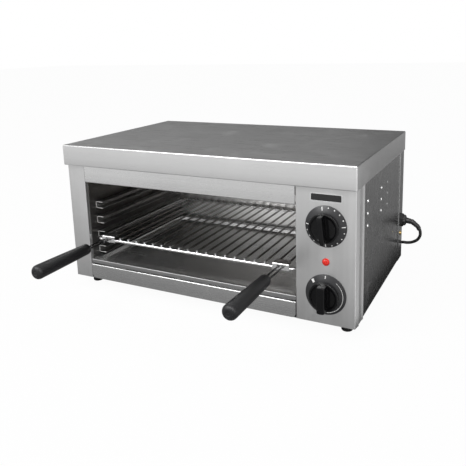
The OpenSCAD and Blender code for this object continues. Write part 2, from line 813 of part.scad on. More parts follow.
module badge_plate() {
    color(black_colour) block([control_x - badge_w / 2, front_y - badge_t, badge_z - badge_h / 2],
                              [control_x + badge_w / 2, front_y, badge_z + badge_h / 2]);
}

module terminal_block() {
    s = terminal_size;
    color(ceramic_colour) translate([control_x - s[0] / 2, terminal_y - s[1] / 2, base_z + sheet]) {
        cube([s[0], s[1], s[2] * terminal_bed]);
        for (i = [0:3]) translate([i * (s[0] - terminal_rib) / 3, 0, 0]) cube([terminal_rib, s[1], s[2]]);
    }
}

// A list of points with its corners cut twice
function cut_corners(p) = [p[0], for (i = [0:len(p) - 2]) each [0.75 * p[i] + 0.25 * p[i + 1],
    0.25 * p[i] + 0.75 * p[i + 1]], p[len(p) - 1]];

// A lead with round bends through a list of points, which never runs along the direction ref
module lead(points, d, ref) {
    tube(cut_corners(cut_corners(points)), d / 2, 6, ref);
}

module wiring() {
    block_z = base_z + sheet + terminal_size[2] * terminal_bed;
    above_z = block_z + lead_out;
    tail_x = side_x - sheet - gland_tail;
    timer_back = front_y + sheet + timer_case_d;
    heat_back = front_y + sheet + heat_case_d;
    stud_x = element_end_x + stud_len / 2;
    stud_z = element_z + stud_d / 2;
    right_x = control_x + lead_gap;
    left_x = control_x - lead_gap;
    color("#7c2f28") {
        lead([[tail_x, gland_y, gland_z], [tail_x - lead_out, gland_y, gland_z],
              [right_x, terminal_y + lead_out, above_z], [right_x, terminal_y, above_z],
              [right_x, terminal_y, block_z]], lead_d * 2, [0, 1, 0]);
        lead([[left_x, terminal_y, block_z], [left_x, terminal_y, above_z],
              [control_x, heat_back + lead_out, heat_z], [control_x, heat_back, heat_z]], lead_d, [1, 0, 0]);
        lead([[control_x, terminal_y - lead_gap, block_z], [control_x, terminal_y - lead_gap, above_z],
              [right_x, timer_back + lead_out, timer_z], [right_x, timer_back, timer_z]], lead_d, [1, 0, 0]);
        lead([[stud_x, leg_ys[0], stud_z], [stud_x, leg_ys[0], stud_z + lead_gap],
              [left_x, timer_back + lead_out, timer_z], [left_x, timer_back, timer_z]], lead_d, [1, 0, 0]);
        for (i = [0:2 * element_count - 2]) lead([[stud_x, leg_ys[i] + lead_d, stud_z],
              [stud_x, (leg_ys[i] + leg_ys[i + 1]) / 2, stud_z + lead_gap],
              [stud_x, leg_ys[i + 1] - lead_d, stud_z]], lead_d, [1, 0, 0]);
    }
}

module back_screws() {
    color(wire_colour) for (x = screw_xs) for (z = screw_zs) {
        rod([x, back_y, z], screw_head_h, screw_head_d, "y");
        rod([x, back_y - screw_len, z], screw_len + screw_head_h, screw_d, "y");
    }
}

module feet() {
    color(rubber_colour) for (x = foot_xs) for (y = foot_ys) translate([x, y, 0]) difference() {
        cylinder(h = foot_h, d1 = foot_tip_d, d2 = foot_d);
        translate([0, 0, -cut]) cylinder(h = foot_pocket + cut, d = foot_screw_head_d + 1);
        cylinder(h = foot_h + cut, d = foot_screw_d + screw_play);
    }
}

module foot_screws() {
    color(wire_colour) for (x = foot_xs) for (y = foot_ys) {
        rod([x, y, foot_pocket - 3], 3, foot_screw_head_d, "z");
        rod([x, y, foot_pocket - 1], foot_h + 2 * sheet + 4 - foot_pocket, foot_screw_d, "z");
        rod([x, y, base_z + sheet], 3, foot_screw_head_d, "z");
    }
}

// The gland that holds the cord in the back panel's right flange
module cord_gland() {
    color(black_colour) translate([side_x, gland_y, gland_z]) rotate([0, 90, 0]) {
        cylinder(h = gland_nut_t, d = gland_nut_d, $fn = 6);
        translate([0, 0, gland_nut_t]) cylinder(h = gland_nose, d1 = gland_nut_d * 0.7, d2 = cord_d + 3);
        translate([0, 0, -sheet - gland_tail]) cylinder(h = gland_tail + sheet + cut, d = gland_thread_d);
        translate([0, 0, -sheet - gland_lock_t]) cylinder(h = gland_lock_t, d = gland_nut_d - 4, $fn = 6);
    }
}

// Tangent of a route at point i
function along(points, i) =
    let (d = points[min(i + 1, len(points) - 1)] - points[max(i - 1, 0)]) d / norm(d);

// The ring of points round a route at point i; the route never runs along the direction ref
function ring(points, i, r, sides, ref) =
    let (t = along(points, i), u = cross(t, ref) / norm(cross(t, ref)), v = cross(t, u))
    [for (k = [0:sides - 1]) points[i] + r * (cos(360 * k / sides) * u + sin(360 * k / sides) * v)];

// A plain tube swept along a route
module tube(points, r, sides, ref) {
    count = len(points);
    skin = [for (i = [0:count - 1]) each ring(points, i, r, sides, ref)];
    walls = [for (i = [0:count - 2]) for (k = [0:sides - 1])
        let (a = i * sides + k, b = i * sides + (k + 1) % sides) [a, a + sides, b + sides, b]];
    start = [for (k = [0:sides - 1]) k];
    end = [for (k = [sides - 1:-1:0]) (count - 1) * sides + k];
    polyhedron(points = skin, faces = concat(walls, [start], [end]));
}

module supply_cord() {
    color(black_colour) tube(cord_points, cord_r, 8, [0, 1, 0]);
}

module cord_coil() {
    color(black_colour) translate([coil_mid[0], coil_mid[1], 0]) rotate_extrude()
        translate([coil_in_r, 0]) round_rect([coil_out_r - coil_in_r, coil_h], coil_round);
}

module cord_tail() {
    color(black_colour) tube(tail_points, cord_r, 8, [0, 1, 0]);
}

// The plug, lying on the table with its blades towards -X
module power_plug() {
    color(black_colour) {
        translate([plug_x1 - plug_len, plug_y - plug_w / 2, 0])
            translate([0, 0, plug_axis_z]) rotate([0, 90, 0]) translate([-plug_h / 2, 0, 0])
                linear_extrude(plug_len) round_rect([plug_h, plug_w], 6);
        translate([plug_x1 - cut, plug_y, plug_axis_z]) rotate([0, 90, 0])
            cylinder(h = plug_neck + cut, d1 = plug_h * 0.7, d2 = cord_d + 3);
    }
}

module plug_blades() {
    x1 = plug_x1 - plug_len;
    color(brass_colour) {
        for (s = [-1, 1]) block([x1 - blade_len, plug_y + s * blade_gap / 2 - blade_t / 2, plug_axis_z + 1],
                                [x1, plug_y + s * blade_gap / 2 + blade_t / 2, plug_axis_z + 1 + blade_w]);
        rod([x1 - pin_len, plug_y, plug_axis_z - 6], pin_len, pin_d, "x");
    }
}

top_cover();
left_column();
control_panel();
front_top_rail();
front_bottom_rail();
left_side_panel();
right_side_panel();
back_panel();
base_panel();
cavity_left_wall();
divider_wall();
cavity_back_wall();
cavity_floor();
cavity_ceiling();
insulation_blanket();
rack_rail(-1, 0);  // left_rail_1
rack_rail(-1, 1);  // left_rail_2
rack_rail(-1, 2);  // left_rail_3
rack_rail(-1, 3);  // left_rail_4
rack_rail(1, 0);  // right_rail_1
rack_rail(1, 1);  // right_rail_2
rack_rail(1, 2);  // right_rail_3
rack_rail(1, 3);  // right_rail_4
heating_elements();
element_bushings();
element_hangers();
rack_frame();
rack_rods();
clip(left_handle_x);  // left_clip
clip(right_handle_x);  // right_clip
handle_wires(left_handle_x);  // left_handle_wires
handle_wires(right_handle_x);  // right_handle_wires
grip(left_handle_x);  // left_grip
grip(right_handle_x);  // right_grip
crumb_tray();
dial(timer_z);  // timer_dial
knob(timer_z, timer_bar_w, timer_lean);  // timer_knob
shaft(timer_z);  // timer_shaft
control_case(timer_z, timer_case, timer_case_d);  // timer_case_box
dial(heat_z);  // heat_dial
knob(heat_z, heat_bar_w, 0);  // heat_knob
shaft(heat_z);  // heat_shaft
control_case(heat_z, heat_case, heat_case_d);  // heat_case_box
pilot_lens();
pilot_body();
badge_plate();
terminal_block();
wiring();
back_screws();
feet();
foot_screws();
cord_gland();
supply_cord();
cord_coil();
cord_tail();
power_plug();
plug_blades();
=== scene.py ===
"""Cheese melter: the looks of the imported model, in metres, in the same frame."""
import math

import bpy
import numpy as np
from mathutils import Matrix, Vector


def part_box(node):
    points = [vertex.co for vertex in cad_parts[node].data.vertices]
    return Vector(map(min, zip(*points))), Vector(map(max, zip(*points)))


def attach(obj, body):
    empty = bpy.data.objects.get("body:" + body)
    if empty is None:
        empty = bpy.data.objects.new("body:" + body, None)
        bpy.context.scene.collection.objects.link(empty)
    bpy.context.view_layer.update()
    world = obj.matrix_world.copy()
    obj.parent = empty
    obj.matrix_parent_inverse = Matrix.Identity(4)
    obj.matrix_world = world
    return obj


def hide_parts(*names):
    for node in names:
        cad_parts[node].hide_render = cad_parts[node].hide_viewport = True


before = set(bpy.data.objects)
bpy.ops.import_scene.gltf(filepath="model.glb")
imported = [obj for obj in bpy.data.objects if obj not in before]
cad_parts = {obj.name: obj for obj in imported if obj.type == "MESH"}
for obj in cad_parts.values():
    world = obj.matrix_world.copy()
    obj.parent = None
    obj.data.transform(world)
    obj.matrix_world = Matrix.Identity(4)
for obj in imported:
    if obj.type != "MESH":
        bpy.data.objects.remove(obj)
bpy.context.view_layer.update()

MM = 0.001
TURN = 2 * math.pi
scene = bpy.context.scene


def box(node):
    """Lowest and highest corner of a CAD node, as arrays."""
    low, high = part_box(node)
    return np.array(low), np.array(high)


def middle_of(node):
    """The middle of a CAD node's box."""
    return sum(box(node)) / 2


def unit(vectors):
    """Vectors brought to length 1."""
    return vectors / np.linalg.norm(vectors, axis=-1, keepdims=True)


def linked(name, data):
    """A new object of the scene."""
    made = bpy.data.objects.new(name, data)
    scene.collection.objects.link(made)
    return made


def stand(made, across, up, back, place):
    """Puts an object at a place with the given three axes."""
    pose = np.eye(4)
    pose[:3] = np.column_stack([across, up, back, place])
    made.matrix_world = Matrix(pose.tolist())


# -------------------- camera

PICTURE_SIDE = 466.0
CAMERA_PLACE = (0.5378, -0.9460, 0.4937)
CAMERA_RIGHT, CAMERA_FORWARD = np.array([(0.8973, 0.4407, -0.0246), (-0.4365, 0.8777, -0.1977)])
SENSOR_MM, FOCAL_MM = 36.0, 43.83
SHIFT_RIGHT, SHIFT_UP = -16.0, -74.5


def make_camera():
    """The camera: its axes made square to each other, its lens, and the picture's shift in pixels."""
    forward = unit(CAMERA_FORWARD)
    right = unit(CAMERA_RIGHT - forward * (CAMERA_RIGHT @ forward))
    data = bpy.data.cameras.new("camera")
    data.sensor_width, data.lens = SENSOR_MM, FOCAL_MM
    data.shift_x, data.shift_y = SHIFT_RIGHT / PICTURE_SIDE, SHIFT_UP / PICTURE_SIDE
    data.clip_start, data.clip_end = 0.05, 50.0
    scene.camera = linked("camera", data)
    stand(scene.camera, right, np.cross(right, forward), -forward, CAMERA_PLACE)


make_camera()

# -------------------- surfaces
# A shell is a list [points, quads, triangles] of arrays.


def loft(rings, ends="fan", round_again=False):
    """Skin through a stack of closed rings: corner j of ring i is joined to corner j + 1 of it and to corner j of
    ring i + 1. An end is closed by a fan to the ring's middle, by a strip across a ring that runs out along one
    face and back along the other, or not at all when the stack itself runs round again."""
    rings = np.asarray(rings, float)
    count, around = rings.shape[:2]
    index = np.arange(count * around).reshape(count, around)
    after = np.roll(index, -1, axis=1)
    if round_again:
        quads = np.stack([index, after, np.roll(after, -1, axis=0), np.roll(index, -1, axis=0)], -1)
    else:
        quads = np.stack([index[:-1], after[:-1], after[1:], index[1:]], -1)
    points, quads = [rings.reshape(-1, 3)], [quads.reshape(-1, 4)]
    triangles = []
    if not round_again and ends == "fan":
        for i, (row, row_after) in enumerate(((after[0], index[0]), (index[-1], after[-1]))):
            middle = np.full(around, count * around + i)
            triangles.append(np.stack([row, row_after, middle], -1))
            points.append(rings[-i].mean(axis=0)[None])
    if not round_again and ends == "strip":
        half = around // 2
        out = np.arange(half - 1)
        strip = np.stack([out, out + 1, around - 2 - out, around - 1 - out], -1)
        quads += [index[0][strip][:, ::-1], index[-1][strip]]
    return [np.vstack(points), np.vstack(quads),
            np.vstack(triangles) if triangles else np.zeros((0, 3), int)]


def slab(top, bottom):
    """Closed plate between two grids of points of the same shape."""
    return loft(np.concatenate([top, bottom[:, ::-1]], axis=1), ends="strip")


def outward(shell):
    """The shell with its faces pointing outwards: reversed if the volumes of its triangles' cones add up below 0."""
    points, quads, triangles = shell
    fans = np.vstack([quads[:, [0, 1, 2]], quads[:, [0, 2, 3]], triangles])
    a, b, c = (points[fans[:, k]] - points.mean(axis=0) for k in range(3))
    if np.einsum("ij,ij->i", a, np.cross(b, c)).sum() < 0:
        quads, triangles = quads[:, ::-1], triangles[:, ::-1]
    return [points, quads, triangles]


def basis(axis):
    """Two directions across an axis, and the axis, as three unit rows."""
    axis = unit(np.array(axis, float))
    first = unit(np.cross([0, 0, 1] if abs(axis[2]) < 0.9 else [1, 0, 0], axis))
    return np.array([first, np.cross(axis, first), axis])


def turned(profile, centre, axis, steps=48, radius_at=None, height_at=None, round_again=False):
    """Turned form: at angle a and profile row (r, h), in mm, the point is centre + r (cos a, sin a) across the axis +
    h along it. radius_at(r, h, a) and height_at(r, h, a), where given, change r and h round the axis. round_again
    joins the profile's last row to its first, for a form with a hole through it."""
    profile = np.asarray(profile, float)
    r, a = np.meshgrid(profile[:, 0], np.linspace(0, TURN, steps, endpoint=False), indexing="ij")
    h = np.repeat(profile[:, 1:2], steps, axis=1)
    if height_at:
        h = height_at(r, h, a)
    if radius_at:
        r = radius_at(r, h, a)
    points = np.asarray(centre) + np.stack([r * np.cos(a), r * np.sin(a), h], -1) * MM @ basis(axis)
    return outward(loft(points, round_again=round_again))


def arc(centre, radius, start, end, steps):
    """Points of an arc in a profile, angles in degrees."""
    a = np.radians(np.linspace(start, end, steps + 1))
    return [(centre[0] + radius * math.cos(t), centre[1] + radius * math.sin(t)) for t in a]


def bent_path(corners, radius, steps=6):
    """Path through corners, each rounded by an arc: from the tangent point, centre + radius (d sin t - n cos t)."""
    corners = np.asarray(corners, float)
    path = [corners[:1]]
    for before, here, after in zip(corners[:-2], corners[1:-1], corners[2:]):
        come, go = unit(here - before), unit(after - here)
        angle = math.acos(np.clip(come @ go, -1, 1))
        inward = unit(go - come * (come @ go))
        start = here - come * radius * math.tan(angle / 2)
        t = np.linspace(0, angle, steps + 1)[:, None]
        path.append(start + inward * radius + radius * (come * np.sin(t) - inward * np.cos(t)))
    return np.vstack(path + [corners[-1:]])


def tube(path, radius, across, sides=12, round_ends=True, round_again=False):
    """Round bar along a path that never runs along the direction across: point = path + r (u cos a + v sin a), with
    u and v at right angles to the path. Its ends are half balls."""
    path = np.asarray(path, float)
    radius = np.broadcast_to(np.asarray(radius, float), len(path))
    if round_again:
        along = unit(np.roll(path, -1, axis=0) - np.roll(path, 1, axis=0))
    else:
        along = unit(np.gradient(path, axis=0))
    if round_ends and not round_again:
        lift = np.radians([85, 60, 30])
        out, narrow = np.sin(lift)[:, None], np.cos(lift)
        path = np.vstack([path[0] - radius[0] * out * along[0], path, path[-1] + radius[-1] * out[::-1] * along[-1]])
        radius = np.concatenate([radius[0] * narrow, radius, radius[-1] * narrow[::-1]])
        along = np.vstack([along[:1]] * 3 + [along] + [along[-1:]] * 3)
    u = unit(np.cross(along, across))
    v = np.cross(along, u)
    a = np.linspace(0, TURN, sides, endpoint=False)[:, None]
    rings = path[:, None] + radius[:, None, None] * (u[:, None] * np.cos(a) + v[:, None] * np.sin(a))
    return outward(loft(rings, round_again=round_again))


def folded(corners, thickness, bend, span, axes, steps=4):
    """Folded sheet: its middle line runs through the corners with bends of the given inner radius, its two faces lie
    half a thickness to each side, and it is drawn out from span[0] to span[1]. axes gives the places of the
    profile's two directions and of the span; a span end may be a function of the profile's two values."""
    corners = np.asarray(corners, float)
    middle = bend + thickness / 2
    direction = unit(np.diff(corners, axis=0))
    left = np.stack([-direction[:, 1], direction[:, 0]], -1)
    line, side = [corners[:1]], [left[:1]]
    for k in range(1, len(corners) - 1):
        come, go = direction[k - 1], direction[k]
        angle = math.atan2(come[0] * go[1] - come[1] * go[0], come @ go)
        reach = middle * math.tan(abs(angle) / 2)
        sign = math.copysign(1, angle)
        t = np.linspace(0, angle, steps + 1)[:, None]
        normal = left[k - 1] * np.cos(t) - come * np.sin(t)
        centre = corners[k] - come * reach + left[k - 1] * middle * sign
        line.append(centre - normal * middle * sign)
        side.append(normal)
    line, side = np.vstack(line + [corners[-1:]]), np.vstack(side + [left[-1:]])
    sheet = np.zeros((2, 2, len(line), 3))
    for face, sign in zip(sheet, (1, -1)):
        flat = line + sign * side * thickness / 2
        for points, end in zip(face, span):
            points[:, axes[:2]] = flat
            points[:, axes[2]] = end(*flat.T) if callable(end) else end
    return outward(slab(*sheet))


def rounded_rectangle(low, high, radius, z, steps=6):
    """Ring round a rectangle: each corner's centre plus radius (cos a, sin a) over its quarter."""
    quarter = np.linspace(0, math.pi / 2, steps + 1)
    middles = [(high[0] - radius, high[1] - radius), (low[0] + radius, high[1] - radius),
               (low[0] + radius, low[1] + radius), (high[0] - radius, low[1] + radius)]
    parts = [np.column_stack([m[0] + radius * np.cos(quarter + k * math.pi / 2),
                              m[1] + radius * np.sin(quarter + k * math.pi / 2),
                              np.full(steps + 1, z)]) for k, m in enumerate(middles)]
    return np.vstack(parts)


def piece(name, shells, material, body="cabinet", stands_for=(), sharp=35.0):
    """One mesh object from its shells, smooth but for edges sharper than the given angle."""
    points, faces, start = [], [], 0
    for shell_points, quads, triangles in shells:
        points.append(shell_points)
        faces += (quads + start).tolist() + (triangles + start).tolist()
        start += len(shell_points)
    mesh = bpy.data.meshes.new(name)
    mesh.from_pydata(np.vstack(points).tolist(), [], faces)
    mesh.validate()
    mesh.shade_smooth()
    mesh.set_sharp_from_angle(angle=math.radians(sharp))
    mesh.materials.append(material)
    made = linked(name, mesh)
    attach(made, body)
    if stands_for:
        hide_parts(*stands_for)
    return made


def dress(material, *nodes):
    """Gives CAD nodes their material."""
    for node in nodes:
        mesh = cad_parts[node].data
        mesh.materials.clear()
        mesh.materials.append(material)


# -------------------- shared effects

def feed(tree, node, sockets):
    """Gives a node's input sockets their sources or plain values."""
    for key, source in sockets.items():
        if isinstance(source, bpy.types.NodeSocket):
            tree.links.new(source, node.inputs[key])
        else:
            node.inputs[key].default_value = source


def add(tree, kind, sockets=None, **values):
    """A node of the given kind with its properties and its inputs."""
    node = tree.nodes.new(kind)
    for key, value in values.items():
        setattr(node, key, value)
    feed(tree, node, sockets or {})
    return node


def noise(tree, place, scale, **more):
    """The value of a noise texture."""
    return add(tree, "ShaderNodeTexNoise", {"Vector": place, "Scale": scale, **more}).outputs["Fac"]


def coordinate(tree, place, axis):
    """One coordinate of a place."""
    return add(tree, "ShaderNodeSeparateXYZ", {0: place}).outputs[axis]


def math_node(tree, operation, first, second):
    """One sum, as an output socket."""
    return add(tree, "ShaderNodeMath", {0: first, 1: second}, operation=operation).outputs[0]


def span_node(tree, value, low, high, to_low=0.0, to_high=1.0):
    """A value carried from one range to another, held at its ends."""
    return add(tree, "ShaderNodeMapRange", {"Value": value, "From Min": low, "From Max": high,
                                            "To Min": to_low, "To Max": to_high}).outputs["Result"]


def mix_colour(tree, factor, first, second):
    """A blend of two colours."""
    return add(tree, "ShaderNodeMix", {0: factor, 6: first, 7: second}, data_type="RGBA").outputs[2]


def effect(name, build, **inputs):
    """A shared shader node group: build(tree, place, given) makes its nodes and returns what feeds its outputs."""
    group = bpy.data.node_groups.new(name, "ShaderNodeTree")
    for socket, value in {"Vector": (0, 0, 0), **inputs}.items():
        kind = "NodeSocketFloat" if isinstance(value, float) else "NodeSocketVector"
        group.interface.new_socket(name=socket, in_out="INPUT", socket_type=kind).default_value = value
    given = group.nodes.new("NodeGroupInput").outputs
    sources = build(group, given["Vector"], given)
    for socket in sources:
        group.interface.new_socket(name=socket, in_out="OUTPUT", socket_type="NodeSocketFloat")
    feed(group, group.nodes.new("NodeGroupOutput"), sources)
    return group


def brushing(tree, place, given):
    """Fine scratches that all run one way: noise drawn out along the brush, and a wide soft banding across it."""
    drawn = add(tree, "ShaderNodeVectorMath", {0: place, 1: given["Stretch"]}, operation="MULTIPLY").outputs[0]
    return {"Scratches": noise(tree, drawn, 900.0, Detail=3.0, Roughness=0.7),
            "Bands": noise(tree, drawn, 70.0, Detail=2.0, Roughness=0.55)}


def handling(tree, place, given):
    """Wiped smudges and faint clouding left by hands and cloths: two soft noises, one of them cut to patches."""
    cloud = noise(tree, place, given["Size"], Detail=3.0, Roughness=0.5, Distortion=0.4)
    finer = math_node(tree, "MULTIPLY", given["Size"], 4.5)
    marks = noise(tree, place, finer, Detail=5.0, Roughness=0.62, Distortion=0.8)
    return {"Smudge": span_node(tree, marks, 0.52, 0.72), "Cloud": cloud}


def scorching(tree, place, given):
    """Straw and brown tints of hot steel, stronger towards the elements: height in the cavity, broken by noise."""
    rise = span_node(tree, coordinate(tree, place, "Z"), 0.08, 0.238)
    patchy = noise(tree, place, 14.0, Detail=4.0, Roughness=0.6)
    return {"Tint": math_node(tree, "MULTIPLY", rise, span_node(tree, patchy, 0.3, 0.7, 0.35, 1.0))}


def moulding(tree, place, given):
    """Fine grain of moulded plastic or rubber: small cells over a softer noise."""
    cells = add(tree, "ShaderNodeTexVoronoi", {"Vector": place, "Scale": given["Grain"]})
    return {"Height": cells.outputs["Distance"], "Cloud": noise(tree, place, 60.0, Detail=4.0)}


def rubbing(tree, place, given):
    """Edges rubbed lighter by use: the sharpest of the outer edges, broken by noise."""
    edge = span_node(tree, add(tree, "ShaderNodeNewGeometry").outputs["Pointiness"], 0.53, 0.62)
    patchy = noise(tree, place, 220.0, Detail=3.0)
    return {"Edge": math_node(tree, "MULTIPLY", edge, span_node(tree, patchy, 0.35, 0.65))}


BRUSHING = effect("brushing", brushing, Stretch=(1, 1, 1))
HANDLING = effect("handling", handling, Size=6.0)
SCORCHING = effect("scorching", scorching)
MOULDING = effect("moulding", moulding, Grain=1500.0)
RUBBING = effect("rubbing", rubbing)

# -------------------- materials

def finish_start(name, **plain):
    """A new material: its tree, its shader with plain values on their sockets, and the object's own coordinates."""
    material = bpy.data.materials.new(name)
    material.use_nodes = True
    tree = material.node_tree
    shader = tree.nodes["Principled BSDF"]
    for key, value in plain.items():
        shader.inputs[key.replace("_", " ")].default_value = value
    place = tree.nodes.new("ShaderNodeTexCoord").outputs["Object"]
    return material, tree, shader, place


def use(tree, group, place, **sockets):
    """Places a shared effect in a material; its outputs."""
    return add(tree, "ShaderNodeGroup", {"Vector": place, **sockets}, node_tree=group).outputs


def bump(tree, height, distance):
    """A shading normal turned by a height, in metres."""
    return add(tree, "ShaderNodeBump", {"Height": height, "Distance": distance, "Strength": 1.0}).outputs["Normal"]


def grey(level, warm=0.0):
    """A grey, a little warmer or cooler."""
    return (level * (1 + warm), level, level * (1 - warm), 1.0)


STRETCH = {"x": (0.012, 1.0, 1.0), "y": (1.0, 0.012, 1.0), "z": (1.0, 1.0, 0.012)}


def brushed_steel(name, level, rough, grain, warm=0.0, spread=0.07, size=6.0, scorch=0.0, metal=1.0, cut=None):
    """Brushed steel sheet: scratches along one direction in its bump and roughness, soft clouding in its colour,
    smudges in its roughness, heat tints where it gets hot, and a painted highlight in front of the depth cut,
    where the colour is painted near white and the roughness raised."""
    material, tree, shader, place = finish_start(name, Metallic=metal)
    brush = use(tree, BRUSHING, place, Stretch=STRETCH[grain])
    hands = use(tree, HANDLING, place, Size=size)
    shade = math_node(tree, "ADD", math_node(tree, "MULTIPLY", brush["Bands"], 0.55),
                      math_node(tree, "MULTIPLY", hands["Cloud"], 0.45))
    shade = span_node(tree, shade, 0.35, 0.65)
    colour = mix_colour(tree, shade, grey(level * (1 - spread), warm), grey(level * (1 + spread), warm))
    if scorch:
        heat = use(tree, SCORCHING, place)
        colour = mix_colour(tree, math_node(tree, "MULTIPLY", heat["Tint"], scorch), colour,
                            (level * 0.62, level * 0.47, level * 0.30, 1.0))
    worn = math_node(tree, "ADD", span_node(tree, brush["Scratches"], 0.25, 0.75, rough - 0.05, rough + 0.06),
                     math_node(tree, "MULTIPLY", hands["Smudge"], 0.06))
    # Painted highlight: in front of the depth cut the colour is painted near white, standing in for light on the
    # front ends.
    if cut:
        painted_highlight = span_node(tree, coordinate(tree, place, "Y"), cut, cut + 0.0002, 1.0, 0.0)
        colour = mix_colour(tree, painted_highlight, colour, (0.97, 0.97, 0.96, 1.0))
        worn = math_node(tree, "MAXIMUM", worn, math_node(tree, "MULTIPLY", painted_highlight, 0.60))
    feed(tree, shader, {"Base Color": colour, "Roughness": worn,
                        "Normal": bump(tree, brush["Scratches"], 0.00002)})
    return material


def bright_wire(name, level, rough, dull=None):
    """Plated wire: smooth, with a little drawing grain and clouding. dull gives the two depths between which the
    colour is painted darker, a painted shade deeper in the cavity, and the share of its brightness that is left."""
    material, tree, shader, place = finish_start(name, Metallic=1.0)
    hands = use(tree, HANDLING, place, Size=30.0)
    colour = mix_colour(tree, hands["Cloud"], grey(level * 0.88), grey(level * 1.08))
    # Painted shade: behind the given depths the colour is painted darker, for the shade inside the cavity.
    if dull:
        first, last, share = dull
        colour = mix_colour(tree, span_node(tree, coordinate(tree, place, "Y"), first, last), colour,
                            (level * share, level * share * 0.97, level * share * 0.93, 1.0))
    grain = use(tree, MOULDING, place, Grain=2600.0)
    feed(tree, shader, {"Base Color": colour, "Normal": bump(tree, grain["Height"], 0.00001),
                        "Roughness": span_node(tree, hands["Smudge"], 0, 1, rough, rough + 0.12)})
    return material


def moulded(name, colour, rough, grain=1500.0, depth=0.00002, wear=0.25, **plain):
    """Moulded plastic or rubber: fine grain, clouding in its gloss, and rubbed edges."""
    material, tree, shader, place = finish_start(name, **plain)
    skin = use(tree, MOULDING, place, Grain=grain)
    rubbed = use(tree, RUBBING, place)
    lighter = tuple(min(1.0, c * 2.2 + 0.02) for c in colour) + (1.0,)
    base = mix_colour(tree, skin["Cloud"], tuple(c * 0.8 for c in colour) + (1.0,),
                      tuple(min(1.0, c * 1.2) for c in colour) + (1.0,))
    base = mix_colour(tree, math_node(tree, "MULTIPLY", rubbed["Edge"], wear), base, lighter)
    feed(tree, shader, {"Base Color": base, "Normal": bump(tree, skin["Height"], depth),
                        "Roughness": span_node(tree, skin["Cloud"], 0.3, 0.7, rough - 0.04, rough + 0.05)})
    return material


COVER_STEEL = brushed_steel("cover_steel", 0.60, 0.30, "x", spread=0.03)
FASCIA_STEEL = brushed_steel("fascia_steel", 0.57, 0.38, "z", spread=0.05)
# The upper rail: a lighter copy of the front steel, painted light.
UPPER_RAIL_STEEL = brushed_steel("upper_rail_steel", 0.68, 0.28, "x", spread=0.05)
RAIL_STEEL = brushed_steel("lower_rail_steel", 0.54, 0.24, "x", spread=0.06)
# The side and back panels: a darker copy of the cabinet's steel, painted shade.
SIDE_STEEL = brushed_steel("side_steel", 0.42, 0.24, "z", spread=0.06)
# Painted light and shade in the cavity: the back wall, divider and floor get a light copy of the lining steel, the
# left wall and ceiling a dark copy.
LINING_STEEL = brushed_steel("cavity_lining", 0.82, 0.33, "y", warm=0.01, scorch=0.15, metal=0.92)
PAINTED_SHADE_LINING = brushed_steel("cavity_lining_painted_shade", 0.20, 0.30, "y", warm=0.01, scorch=0.5)
# The rail channels' front ends carry the painted highlight.
CHANNEL_STEEL = brushed_steel("rail_channel", 0.40, 0.28, "y", warm=0.01, cut=-0.0638)
TRAY_STEEL = brushed_steel("tray_steel", 0.80, 0.22, "x", spread=0.06, metal=0.92)
# The tray's lip: a darker, rougher copy of the tray's steel, painted shade.
TRAY_LIP_STEEL = brushed_steel("tray_lip_steel", 0.26, 0.44, "x", spread=0.06)
CLIP_STEEL = brushed_steel("clip_steel", 0.72, 0.22, "x", size=30.0)
# Bright steel of the badge border, and a painted highlight on the front two columns of vent rims.
POLISHED_AND_GLINT_STEEL = brushed_steel("polished_border_and_painted_glint", 0.90, 0.20, "z", size=30.0, metal=0.7)
BASE_STEEL = brushed_steel("base_steel", 0.42, 0.42, "x")
RACK_WIRE = bright_wire("rack_plating", 0.78, 0.16)
# The rods are painted darker behind y = -0.060, as painted shade inside the cavity.
ROD_WIRE = bright_wire("rack_rod_plating", 0.78, 0.18, dull=(-0.0735, -0.060, 0.26))
HANDLE_WIRE = bright_wire("handle_wire", 0.10, 0.25)
SCREW_STEEL = bright_wire("screw_plating", 0.58, 0.28)
GRIP_PLASTIC = moulded("grip_plastic", (0.009, 0.009, 0.010), 0.42, grain=1300.0, depth=0.00003, IOR=1.36)
KNOB_PLASTIC = moulded("knob_plastic", (0.004, 0.004, 0.0045), 0.10, grain=2600.0, depth=0.000003, wear=0.12,
                       IOR=1.28)
DIAL_PLASTIC = moulded("dial_plastic", (0.016, 0.016, 0.018), 0.30, grain=2200.0, depth=0.000008, wear=0.1)
DIAL_PRINT = moulded("dial_print", (0.80, 0.80, 0.79), 0.45, grain=2000.0, depth=0.000005, wear=0.0)
LAMP_PLASTIC = moulded("lamp_body_plastic", (0.02, 0.02, 0.02), 0.4)
BADGE_ENAMEL = moulded("badge_enamel", (0.007, 0.007, 0.007), 0.22, grain=2600.0, depth=0.000004, wear=0.0)
FOOT_RUBBER = moulded("foot_rubber", (0.014, 0.014, 0.014), 0.62, grain=900.0, depth=0.00004)
GLAND_PLASTIC = moulded("gland_plastic", (0.012, 0.012, 0.012), 0.40)
CORD_RUBBER = moulded("cord_rubber", (0.011, 0.011, 0.011), 0.46, grain=1100.0, depth=0.00003)
PLUG_RUBBER = moulded("plug_rubber", (0.013, 0.013, 0.013), 0.50, grain=1100.0, depth=0.00003)
CASE_PLASTIC = moulded("control_case_plastic", (0.30, 0.28, 0.25), 0.45)
CERAMIC = moulded("ceramic", (0.74, 0.70, 0.62), 0.35, grain=700.0, depth=0.00003, wear=0.0)
LEAD_SLEEVE = moulded("lead_sleeve", (0.22, 0.035, 0.03), 0.5, grain=3000.0)
BLANKET = moulded("insulation_wool", (0.62, 0.58, 0.46), 0.9, grain=300.0, depth=0.0008, wear=0.0)


